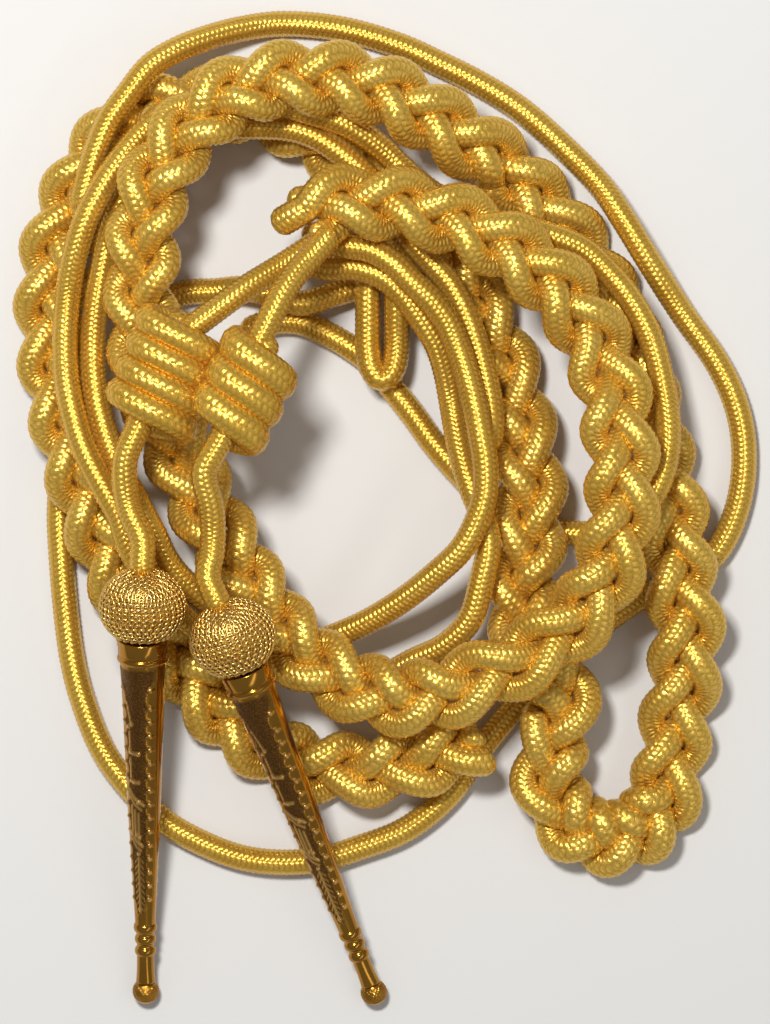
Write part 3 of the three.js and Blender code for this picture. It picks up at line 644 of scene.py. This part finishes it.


# %% [markdown]
# ## Gilt wire braid
# The thread is gilt copper wire, drawn flat and wound over cotton. It is a warm yellow gold, with
# painted shade that makes it deeper between the stitches, where the light goes from wire to wire, and
# nearly white where a stitch faces the lamp.


# %% The braid's material
def gilt_braid(name, light, deep):
    """Gilt wire thread, braided: the stitches of the mesh again, sharper, with the fine wires of each
    stitch, as bump, and painted shade in the grooves: a darker colour where the stitches sink."""
    material, add = new_material(name)
    pattern = add("UVMap", uv_map="pattern")
    x, y = (add("SeparateXYZ", pattern, output=axis) for axis in "XY")
    across = add("Math SUBTRACT", add("Math FRACT", y), 0.5)
    odd = add("Math FLOORED_MODULO", add("Math FLOOR", y), 2.0)
    lean = add("Math MULTIPLY_ADD", odd, -2 * STITCH_LEAN, STITCH_LEAN)
    along = add("Math MULTIPLY_ADD", across, lean, add("Math MULTIPLY_ADD", odd, 0.5, x))
    # along each stitch one wave, and four wires side by side, 0.33 mm apart
    wave, wires = (
        add("Math ABSOLUTE", add("Math SINE", add("Math MULTIPLY", along, waves * np.pi)))
        for waves in (1, 4)
    )
    arch = add("Math MULTIPLY_ADD", add("Math MULTIPLY", across, across), -4.0, 1.0)
    height = add("Math MULTIPLY", add("Math POWER", wave, STITCH_POWER), arch)
    # threads that sit a little high or low, every 0.7 mm or so
    place = add("TexCoord", output="Object")
    grain = add("TexNoise", place, Scale=1 / (0.7 * MM), Detail=2.0)
    shade = add("Math ADD", height, add("Math MULTIPLY_ADD", grain, 0.6, -0.3))
    fine = add("Math MULTIPLY_ADD", wires, 0.14, shade)
    bump = add("Bump", Strength=0.9, Distance=0.17 * MM, Height=fine)
    # wear and tarnish drift over a centimetre or so
    drift = add("TexNoise", place, Scale=1 / (11 * MM), Detail=3.0)
    gold = add("Mix", drift, colour(light), colour(deep), data_type="RGBA")
    # painted shade: the colour is drawn towards a dark olive gold where the stitches and threads sit
    # low, in the grooves where shade falls
    groove_shade = add("MapRange", shade, From_Min=-0.1, From_Max=0.5, To_Min=0.38, To_Max=0.0)
    base = add("Mix", groove_shade, gold, colour("#7e640e"), data_type="RGBA")
    rough = add("MapRange", grain, To_Min=0.2, To_Max=0.38)
    metal = add("BsdfPrincipled", Base_Color=base, Metallic=0.7, Roughness=rough, Normal=bump)
    add("OutputMaterial", metal)
    return material


plait_braid = gilt_braid("gilt_wire_braid_of_plait", "#f2ca60", "#dfac3c")
cord_braid = gilt_braid("gilt_wire_braid_of_cord", "#ecc154", "#d8a436")

# %% [markdown]
# ## The plait
# In a three-strand plait each strand swings across as a cosine, and up and down as the sine of
# twice that angle, a third of a pattern behind the last. A tight plait hooks round at its edges,
# so the cosine turns faster there. Where the plait bends, its inner edge is pressed up and rolls
# the section a little, and its scallops draw together, so the pattern is counted along it.

# %% Scallops and roll along the plait
SCALLOP_COUNTS = points("""
  0,0 56,4 106,8 218,16 330,24 391,28 430,31 463,33.5 489,36.5 503,37.5 574,42.5 672,49.5 725,53.5
  890,65.5 915,67.5 949,69.5 1035,75.5 1110,80.7""") / [1, MM]
plait_line, plait_number = smooth(middle(plait), 8)
plait_along = np.interp(plait_number, np.arange(len(plait["along"])), plait["along"])
count = np.interp(plait_along, *SCALLOP_COUNTS.T)
plait_right, _ = sides_of(plait_line * [1, 1, 0])
ahead = np.cross([0, 0, 1.0], plait_right)
before = at(ahead, plait_along, plait_along - PLAIT_TURN_REACH)
after = at(ahead, plait_along, plait_along + PLAIT_TURN_REACH)
bend = np.cross(before, after)[:, 2] / (2 * PLAIT_TURN_REACH * PLAIT_TIGHT_BEND)
roll = -np.arcsin(PLAIT_LEAN / STRAND_SWING) * np.clip(bend, -1, 1)
print("scallops:", round(count[-1]), "on each side")

# %% Three strands
END_REACH = (8.5 * MM, 0.8 * MM, 3.5 * MM)
END_DROP = 0.5
END_TURN = 0.65  # how far a strand's end turns to the plait's own direction
for n in range(3):
    turn = 2 * np.pi * (count + n) / 3
    across = STRAND_SWING * np.cos(turn + STRAND_HOOK * np.sin(2 * turn))
    up = STRAND_RISE * np.sin(2 * turn)
    strand = plait_line - plait_right * (across * np.cos(roll) + up * np.sin(roll))[:, None]
    strand[:, 2] += up * np.cos(roll) - across * np.sin(roll)
    # past the last stitch of the plait, each strand turns down under it
    reach = np.linspace(0, END_REACH[n], 8)[1:, None]
    way = (1 - END_TURN) * unit(strand[-1] - strand[-2]) + END_TURN * ahead[-1]
    last = strand[-1] + reach * unit(way * [1, 1, 0])
    last[:, 2] -= END_DROP * reach[:, 0] ** 2 / END_REACH[n]
    strand = np.vstack([strand, last])
    piece, path = braided_tube(f"strand_{n + 1}", strand, STRAND_WIDTH, STRAND_THICKNESS, plait_braid)
    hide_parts("rear_plait", "front_plait")
    print(piece.name, round(1000 * distances(path)[-1]), "mm", triangles(piece), "triangles")

# %% [markdown]
# ## The plain cords
# The same braid, a little thicker, along the line of each cord.

# %% Plain cords
# each with how far it goes on inside what holds its start and its end, and how it lies where it
# is long enough to be limp
PLAIN_CORDS = {
    "outer_loop": (0, 0, "coiled"),
    "long_loop": (0, 0, "coiled"),
    "second_loop": (0, 0, "coiled"),
    "inner_cord": (0, 0, "loose"),
    "tie_cord": (0, 0, "loose"),
    "button_loop": (0, 0, None),
    "left_lead": (6 * MM, 9 * MM, None),
    "right_lead": (6 * MM, 9 * MM, None),
    "left_drop": (9 * MM, 3 * MM, None),
    "right_drop": (9 * MM, 3 * MM, None),
}
thick = 2 * CORD_RADIUS
for name, (before, after, lies) in PLAIN_CORDS.items():
    line = lengthened(smooth(middle(runs[name]), 8)[0], before, after)
    piece, path = braided_tube("braided_" + name, line, thick, thick, cord_braid)
    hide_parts(name)

# %% [markdown]
# ## The wound knots
# Each knot is a cord wrapped several times round the one that runs through it. The wraps press
# on each other, so they are wider along the knot than they are thick.


# %% Knots
WRAP_PRESS = 1.16  # how much wider a wrap is than the pitch, where it presses on the next


def to_model(places, rest):
    """Points from a rigid piece's own frame, with its axis along Y and its lower end towards -Y,
    to the model's, as the piece rests. level is the share of the axis that is level."""
    level = rest.get("level", 1.0)
    down = np.append(-level * heading(rest["angle"]), np.sqrt(1 - level**2))
    across = unit(np.cross(down, [0, 0, 1]))
    turned = places @ np.array([across, down, np.cross(across, down)])
    return turned + np.array([*rest["centre"], rest["z"]]) + SHIFT


def wound_tube(name, knot, material):
    """The wrapped cord of a knot: a helix round an oval, from underneath and back. Its ring at
    each step has its width along the knot and its thickness outwards."""
    turns, pitch = knot["turns"], knot["pitch"]
    coarse = np.linspace(0, 1, 400)
    angle = -np.pi / 2 - 2 * np.pi * turns * coarse
    width, height = KNOT_HALF_WIDTH - CORD_RADIUS, KNOT_HALF_HEIGHT - CORD_RADIUS
    helix = np.column_stack([width * np.cos(angle), -turns * pitch * coarse, height * np.sin(angle)])
    where, groove, uv = braid(distances(helix)[-1])
    share = np.interp(where, distances(helix), coarse)[:, None]
    angle = -np.pi / 2 - 2 * np.pi * turns * share
    outwards = (CORD_RADIUS - groove) * np.sin(TURN) - CORD_RADIUS
    wide = WRAP_PRESS * pitch / 2 - groove
    places = joined(
        (KNOT_HALF_WIDTH + knot["wider"] + outwards) * np.cos(angle) + knot["aside"],
        turns * pitch * (0.5 - share) + wide * np.cos(TURN),
        (KNOT_HALF_HEIGHT + outwards) * np.sin(angle),
    )
    return skin(name, to_model(places, knot), uv, material)


for side, knot in KNOTS.items():
    name = side + "_knot"
    piece = wound_tube(name + "_wraps", knot, cord_braid)
    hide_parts(name)
    reach = knot["half_length"] - 0.2 * MM
    through = to_model(np.linspace(reach, -reach, 9)[:, None] * [0, 1, 0], knot)
    core, _ = braided_tube(name + "_core", through, thick, thick, cord_braid)
    print(piece.name, triangles(piece), "triangles")

# %% [markdown]
# ## Netted balls
# A ball is a wooden core wound with gold thread, under a net of stiff gilt wire. The net is
# knitted: in each row one wire goes round the ball in loops, and the loops of neighbouring rows
# hook into each other.

# %% Core and net of a ball
NET_LOOP = 1.9 * MM
NET_ROW = 1.45 * MM
NET_WIRE = 0.24 * MM
NET_SIDES = 4
NET_SWELL = 1.15 * MM
NET_CURL = 1.3
NET_OUT, NET_RISE, NET_LEAD = 0.5 * MM, 0.24 * MM, 0.8
NET_STEPS = 10
CORE_RADIUS = BALL_RADIUS - 0.95 * MM
CORE_HALF_LENGTH = BALL_HALF_LENGTH - 0.95 * MM
CORE_COLUMNS = 32


def on_ball(slope, turn):
    """Points on the core and the outward directions there, from the angle slope, which starts at
    the end over the tag, and the angle turn around: an oval spun about the Y axis."""
    out = np.sin(slope)[..., None] * joined(np.cos(turn), 0, np.sin(turn))
    along = -np.cos(slope)[..., None] * np.array([0, 1.0, 0])
    place = CORE_RADIUS * out + CORE_HALF_LENGTH * along
    return place, unit(out / CORE_RADIUS + along / CORE_HALF_LENGTH)


def net_wire(slope, phase):
    """One row's wire: as t runs on, it goes around as t plus a share of sin 2t, and up and down
    as cos t, which bends it into open loops, and it rises over its neighbours as the sine of a
    little more than t."""
    loops = max(round(2 * np.pi * BALL_RADIUS * np.sin(slope) / NET_LOOP), 8)
    t = np.linspace(0, 2 * np.pi * loops, NET_STEPS * loops, endpoint=False) + phase
    turn = (t + NET_CURL * np.sin(2 * t)) / loops
    place, out = on_ball(slope + NET_SWELL / BALL_RADIUS * np.cos(t), turn)
    return place + (NET_OUT + NET_RISE * np.sin(t + NET_LEAD))[:, None] * out, out


def closed_wires(name, wires, material):
    """One piece of closed wires: rings of corners square to each wire, joined end to end."""
    places, quads, first = [], [], 0
    turn = -2 * np.pi * np.arange(NET_SIDES)[None, :, None] / NET_SIDES
    for path, out in wires:
        ahead = unit(np.roll(path, -1, axis=0) - np.roll(path, 1, axis=0))
        right = unit(np.cross(ahead, out))
        up = np.cross(right, ahead)
        ring = np.cos(turn) * right[:, None] + np.sin(turn) * up[:, None]
        places.append((path[:, None] + NET_WIRE * ring).reshape(-1, 3))
        quads.append(first + ring_faces(len(path), NET_SIDES, closed=True))
        first += len(path) * NET_SIDES
    mesh = bpy.data.meshes.new(name)
    mesh.from_pydata(np.vstack(places).tolist(), [], np.vstack(quads).tolist())
    return riding(name, mesh, material)


# Drawn copper wire, plated with a pale gold, so it is brighter than the thread under it.
gilt_wire, add = new_material("plated_copper_wire_of_net")
cloud = add("TexNoise", add("TexCoord", output="Object"), Scale=1 / (3 * MM), Detail=3.0)
base = add("Mix", cloud, colour("#ffde8c"), colour("#f0c264"), data_type="RGBA")
add("OutputMaterial", add("BsdfPrincipled", Base_Color=base, Metallic=1.0, Roughness=0.27))
# Gold thread wound side by side round the core, 0.45 mm to a thread, and dulled by age, with painted
# shade between the threads.
core_thread, add = new_material("wound_gold_thread_of_ball")
threads = add(
    "TexWave", add("TexCoord", output="Object"), Scale=0.314 / (0.45 * MM), Distortion=1.5,
    bands_direction="Y", output="Fac",
)
# painted shade: the colour is darker in the grooves between the threads, following the same bands as
# the bump
base = add("Mix", threads, colour("#c0962e"), colour("#e4bc58"), data_type="RGBA")
bump = add("Bump", Strength=0.6, Distance=0.1 * MM, Height=threads)
metal = add("BsdfPrincipled", Base_Color=base, Metallic=0.6, Roughness=0.45, Normal=bump)
add("OutputMaterial", metal)

slopes = np.linspace(0.02, np.pi - 0.02, 25)
turns = -2 * np.pi * np.arange(CORE_COLUMNS) / CORE_COLUMNS
core_grid, _ = on_ball(*np.meshgrid(slopes, turns, indexing="ij"))
core_uv = uv_grid(slopes, CORE_COLUMNS)
rows = np.arange(0.62, np.pi - 0.2, NET_ROW / BALL_RADIUS)
wires = [net_wire(slope, np.pi * i) for i, slope in enumerate(rows)]
for side, ball in BALLS.items():
    core = skin(side + "_ball_core", to_model(core_grid, ball), core_uv, core_thread)
    middle_of_ball = to_model(np.zeros(3), ball)
    placed = [(to_model(path, ball), to_model(out, ball) - middle_of_ball) for path, out in wires]
    net = closed_wires(side + "_ball_net", placed, gilt_wire)
    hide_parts(side + "_ball")
    print(net.name, len(wires), "rows", triangles(net) + triangles(core), "triangles")

# %% [markdown]
# ## Tags
# A tag is cast brass, turned and chased: a collar with a rolled lip, a long taper with a sunk
# panel on two faces, three rings, a neck that flares, and a knurled end ball. The relief of the
# chasing is worked out at each point of the turned surface, in millimetres.

# %% The chased relief of a tag's body
PANEL_FACING = -24.0  # degrees from straight up, towards the right
PANEL_HALF = 30.0  # half the panel's angle
PANEL_TOP, PANEL_END = 14.4, 77.5
CUSP_REACH = 14.0  # degrees from the panel's edge
FIRST_CUSP, SECOND_CUSP, CUSP_PITCH, LAST_CUSP = 19.6, 24.3, 3.5, 14
CUSP_RISE, CUSP_HALF_LENGTH, CUSP_HALF_WIDTH = 0.42, 0.55, 0.45
GROUND_DEPTH, GROUND_EDGE = 0.16, 0.35
BORDER_RISE, BORDER_HALF = 0.1, 0.2
BEAD_RISE, BEAD_HALF = 0.3, 0.42
LEAF_RISE, LEAF_HALF, LEAF_PITCH, LEAF_SLOPE, LEAF_START = 0.09, 1.35, 1.6, 1.3, 62
HIGHLIGHT_RISE = 0.14  # raised work this high gets the full painted highlight, a lighter colour standing in for the glints on it
# A ridge is given by its two ends, each with its angle from the panel's middle and its distance
# from the ball, and then by its height and half its width.
RIDGES = np.array("""
  -30 22.8 -14 28.2 0.14 0.22   -24 35.7   8 36.0 0.20 0.30   -24 43.0   8 43.3 0.20 0.30
  -38 44.6  -8 47.4 0.26 0.26    -8 47.4  22 49.0 0.26 0.26   -38 46.0 -10 48.8 0.20 0.22
  -10 48.8  14 50.2 0.20 0.22   -38 55.4  -8 58.2 0.26 0.26    -8 58.2  16 59.6 0.26 0.26
  -38 56.8 -10 59.6 0.20 0.22   -10 59.6  10 60.8 0.20 0.22   -22 49.4 -22 56.4 0.14 0.24
   -9 50.4  -9 57.4 0.14 0.24     4 51.2   4 58.2 0.14 0.24   -22 37.2 -22 42.0 0.12 0.20
  -22 30.4 -22 34.8 0.12 0.20     0 62.5   0 76.0 0.14 0.24""".split(), float).reshape(-1, 6)
# a bead, by its angle and distance
BEADS = np.array("""
  -24 29.2  -12 28.4  -22 34.9  8 36.0  -22 38.2  -8 43.2  4 48.4  -4 56.6  6 57.4  0 61.6
  -2 76.2""".split(), float).reshape(-1, 2)


def panel_half(away):
    """Half the panel's angle: valleys between cusps, which point outwards, a flare towards the
    collar, and a taper to the lower end."""
    first = (away - FIRST_CUSP) / (SECOND_CUSP - FIRST_CUSP)
    others = (away - SECOND_CUSP) / CUSP_PITCH
    turn = np.pi * np.where(away < SECOND_CUSP, first, others)
    cusp = (1 - np.abs(np.sin(turn))) ** 1.6
    flare = CUSP_REACH + 18 * np.clip((FIRST_CUSP - away) / (FIRST_CUSP - PANEL_TOP), 0, 1)
    wide = PANEL_HALF + np.where(away < FIRST_CUSP, flare, CUSP_REACH * cusp)
    return wide * np.sqrt(np.clip((PANEL_END - away) / 5, 0, 1))


def panel_relief(part, away, radius):
    """The height over the turned surface, the share of sunk ground and the share of painted highlight
    on the raised work and cusp beads, from the angle from the panel's middle, the distance from the
    ball and the tag's radius, in degrees and mm. Ridges and beads rise as a bell curve of the
    distance from them."""
    arc = np.radians(part) * radius
    out = np.radians(np.abs(part) - panel_half(away)) * radius
    lengthways = np.clip((away - PANEL_TOP) / 0.4, 0, 1) * (away < PANEL_END)
    ground = np.clip(0.5 - out / GROUND_EDGE, 0, 1) * lengthways
    height = -GROUND_DEPTH * ground
    height += BORDER_RISE * np.exp(-((out / BORDER_HALF) ** 2)) * lengthways
    number = np.clip(np.round((away - SECOND_CUSP) / CUSP_PITCH), 0, LAST_CUSP)
    between = (FIRST_CUSP + SECOND_CUSP) / 2
    middle_of_cusp = np.where(away < between, FIRST_CUSP, SECOND_CUSP + CUSP_PITCH * number)
    from_cusp = np.radians(np.abs(part) - PANEL_HALF - CUSP_REACH) * radius
    off = ((away - middle_of_cusp) / CUSP_HALF_LENGTH) ** 2 + (from_cusp / CUSP_HALF_WIDTH) ** 2
    cusp_bead = np.exp(-(off**1.5))
    height += CUSP_RISE * cusp_bead
    raised = np.zeros_like(height)
    point = np.stack([arc, away])
    for angle, start, last_angle, end, rise, wide in RIDGES:
        first = np.stack([np.radians(angle) * radius, np.full_like(radius, start)])
        last = np.stack([np.radians(last_angle) * radius, np.full_like(radius, end)])
        share = ((point - first) * (last - first)).sum(0) / ((last - first) ** 2).sum(0)
        off = point - first - np.clip(share, 0, 1) * (last - first)
        raised = np.maximum(raised, rise * np.exp(-(off**2).sum(0) / wide**2))
    for angle, start in BEADS:
        off = (arc - np.radians(angle) * radius) ** 2 + (away - start) ** 2
        raised = np.maximum(raised, BEAD_RISE * np.exp(-((off / BEAD_HALF**2) ** 1.5)))
    # fern leaves: ribs that slope back from a stem
    leaf = np.maximum(np.cos(2 * np.pi * (away - LEAF_SLOPE * np.abs(arc)) / LEAF_PITCH), 0)
    leaf *= np.clip((away - LEAF_START) / 1.5, 0, 1) * np.clip((LEAF_HALF - np.abs(arc)) / 0.3, 0, 1)
    raised = np.maximum(raised, LEAF_RISE * leaf) * np.clip(1.5 * ground, 0, 1)
    # painted highlight: the share of lighter colour on raised work and cusp beads, where glints fall
    painted_highlight = np.clip(np.clip(raised / HIGHLIGHT_RISE, 0, 1) + cusp_bead, 0, 1)
    return height + 1.5 * raised, ground * np.clip(1 - 2 * raised / HIGHLIGHT_RISE, 0, 1), painted_highlight


def rolled(start, length, low, high):
    """The rows of a rolled edge: a half oval from one radius up to another and back."""
    turn = np.linspace(0, np.pi, 8)
    along = start + length * (1 - np.cos(turn)) / 2
    return np.column_stack([along, low + (high - low) * np.sin(turn)])


# %% The turned body
COLLAR_END = COLLAR_START + COLLAR_LENGTH
LIP = 1.2 * MM
LIP_START = COLLAR_END - LIP
BODY_STEP = 0.36 * MM
# the collar's rows, from the rounded edge under the ball to the groove over the lip
edge = np.array([[0.6, 0.84], [0.1, 0.95], [0.1, 0.985], [0.4, 1]]) * [MM, COLLAR_RADIUS]
groove = np.array([[-0.5, 1], [-0.2, 0.985]]) * [MM, COLLAR_RADIUS]
collar = np.vstack([edge + [COLLAR_START, 0], groove + [LIP_START, 0]])
lip = rolled(LIP_START, LIP + 0.2 * MM, 0.955 * COLLAR_RADIUS, 1.04 * COLLAR_RADIUS)
body_away = np.arange(COLLAR_END + 0.25 * MM, BODY_END - EDGE_SLOPE, BODY_STEP)
parts = [collar, lip, np.column_stack([body_away, np.interp(body_away, *TAG_PROFILE[2:6].T)])]
for i, radius in enumerate(RING_RADII):
    start = BODY_END + i * RING_SPACING - EDGE_SLOPE
    low = NECK_RADIUS if i else BODY_END_RADIUS
    parts.append(rolled(start, RING_LENGTH + 2 * EDGE_SLOPE, low, radius))
neck_start = RINGS_END + 0.2 * MM
neck_end = TAG_LENGTH - 1.7 * END_BALL_RADIUS
share = np.linspace(0, 1, 14)
flare = NECK_RADIUS + (NECK_END_RADIUS - NECK_RADIUS) * share**3
parts.append(np.column_stack([neck_start + (neck_end - neck_start) * share, flare]))
profile = np.vstack(parts)
# half a turn, with more columns where the panel is, and the other half the same
half_turn = np.concatenate([np.linspace(-50, 50, 31), np.linspace(50, 130, 8)[1:-1]])
turn = np.concatenate([half_turn, half_turn + 180])[::-1]
away, part = np.meshgrid(profile[:, 0], turn, indexing="ij")
radius = np.broadcast_to(profile[:, 1:], away.shape)
height, ground, painted_highlight = panel_relief((part + 90) % 180 - 90, away / MM, radius / MM)
chased = radius + height * MM
angle = np.radians(part + PANEL_FACING)
tag_grid = joined(chased * np.sin(angle), -away, chased * np.cos(angle))
tag_uv = uv_grid(profile[:, 0] / MM, len(turn))
print("tag grid", tag_grid.shape)

# %% The knurled end ball
KNURLS = 20
KNURL_RISE, KNURL_SINK = 0.42 * MM, 0.3 * MM
KNURL_BAND = 0.66  # half the band's angle from pole to pole
END_COLUMNS = 100
slopes = np.linspace(0.03, np.pi - 0.03, 45)
turns = -2 * np.pi * np.arange(END_COLUMNS) / END_COLUMNS
slope, around = np.meshgrid(slopes, turns, indexing="ij")
diamonds = np.abs(np.sin(KNURLS * (around + slope) / 2) * np.sin(KNURLS * (around - slope) / 2))
band = np.clip((KNURL_BAND - np.abs(slope - 0.5 * np.pi)) / 0.06, 0, 1)
reach = END_BALL_RADIUS + (KNURL_RISE * diamonds - KNURL_SINK) * band
end_grid = joined(
    reach * np.sin(slope) * np.cos(around),
    -(TAG_LENGTH - END_BALL_RADIUS) + reach * np.cos(slope),
    reach * np.sin(slope) * np.sin(around),
)[::-1]
end_uv = uv_grid(slopes, END_COLUMNS)

# Cast brass, gilt and polished, which shows what is round it. The sunk ground is matted with a
# pointed punch, about three marks to a millimetre, and coloured darker, with painted shade in the
# bottom of each mark. The raised work and the cusp beads carry a painted highlight: a lighter colour
# where the lamp's glints fall on them.
brass, add = new_material("chased_gilt_brass")
place = add("TexCoord", output="Object")
sunk = add("Attribute", attribute_name="ground", output="Fac")
highlight_share = add("Attribute", attribute_name="painted_highlight", output="Fac")
marks = add("TexVoronoi", place, Scale=1 / (0.36 * MM))
wear = add("TexNoise", place, Scale=1 / (6 * MM), Detail=4.0)
polished = add("Mix", wear, colour("#bd8a38"), colour("#a06f26"), data_type="RGBA")
# painted shade: each punch mark is darkest at its bottom, where the bump sinks it, and the whole
# ground is coloured darker than the polished brass
matted = add("Mix", marks, colour("#3e260c"), colour("#8a6030"), data_type="RGBA")
base = add("Mix", sunk, polished, matted, data_type="RGBA")
# painted highlight: the raised work and cusp beads are lightened towards a pale gold, standing in for
# the glints of the lamp
base = add("Mix", highlight_share, base, colour("#e4b468"), data_type="RGBA")
stipple = add("Math MULTIPLY", marks, sunk)
bump = add("Bump", Strength=1.0, Distance=0.12 * MM, Height=stipple)
rough = add("MapRange", sunk, To_Min=0.16, To_Max=0.36)
rough = add("Math MULTIPLY_ADD", highlight_share, 0.14, rough)
metal = add("BsdfPrincipled", Base_Color=base, Metallic=1.0, Roughness=rough, Normal=bump)
add("OutputMaterial", metal)

# %% Both tags
for side, ball in BALLS.items():
    piece = skin(side + "_tag_body", to_model(tag_grid, ball), tag_uv, brass)
    for mask_name, mask in (("ground", ground), ("painted_highlight", painted_highlight)):
        layer = piece.data.attributes.new(mask_name, "FLOAT", "POINT")
        layer.data.foreach_set("value", mask.ravel().astype(np.float32))
    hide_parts(side + "_tag")
    end = skin(side + "_tag_end", to_model(end_grid, ball), end_uv, brass)
    print(piece.name, triangles(piece) + triangles(end), "triangles")

# %% [markdown]
# ## Surroundings
# A plain pale floor, a soft lamp above and to the left as the photograph's is, a weaker one
# opposite, and a dim grey sky, so that polished metal has something dark to reflect.

# %% Floor, lamps and sky
floor_material, add = new_material("pale_card")
add("OutputMaterial", add("BsdfPrincipled", Base_Color=colour("#d9d7d3"), Roughness=0.85))
floor_mesh = bpy.data.meshes.new("floor")
floor_mesh.from_pydata([(-3, -3, 0), (3, -3, 0), (3, 3, 0), (-3, 3, 0)], [], [(0, 1, 2, 3)])
floor_mesh.materials.append(floor_material)
in_scene("floor", floor_mesh)
for name, place, size, power in (
    ("key_lamp", (-0.22, 0.32, 1.1), 0.2, 16),
    ("fill_lamp", (0.8, -0.5, 1.1), 1.2, 8),
):
    data = bpy.data.lights.new(name, "AREA")
    data.size, data.energy = size, power
    lamp = in_scene(name, data)
    lamp.location = place
    aim = -unit(np.array(place))
    lamp.rotation_euler = (np.arccos(-aim[2]), 0, np.arctan2(aim[0], -aim[1]))
world = bpy.data.worlds.new("dim_sky")
world.use_nodes = True
sky = world.node_tree.nodes["Background"]
sky.inputs["Color"].default_value = colour("#c4c5c8")
sky.inputs["Strength"].default_value = 0.5
bpy.context.scene.world = world
bpy.context.scene.view_settings.view_transform = "Standard"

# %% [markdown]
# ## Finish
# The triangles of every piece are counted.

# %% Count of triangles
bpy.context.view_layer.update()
pieces = [piece for piece in bpy.context.scene.objects if piece.type == "MESH"]
print("all pieces:", sum(triangles(piece) for piece in pieces), "triangles")
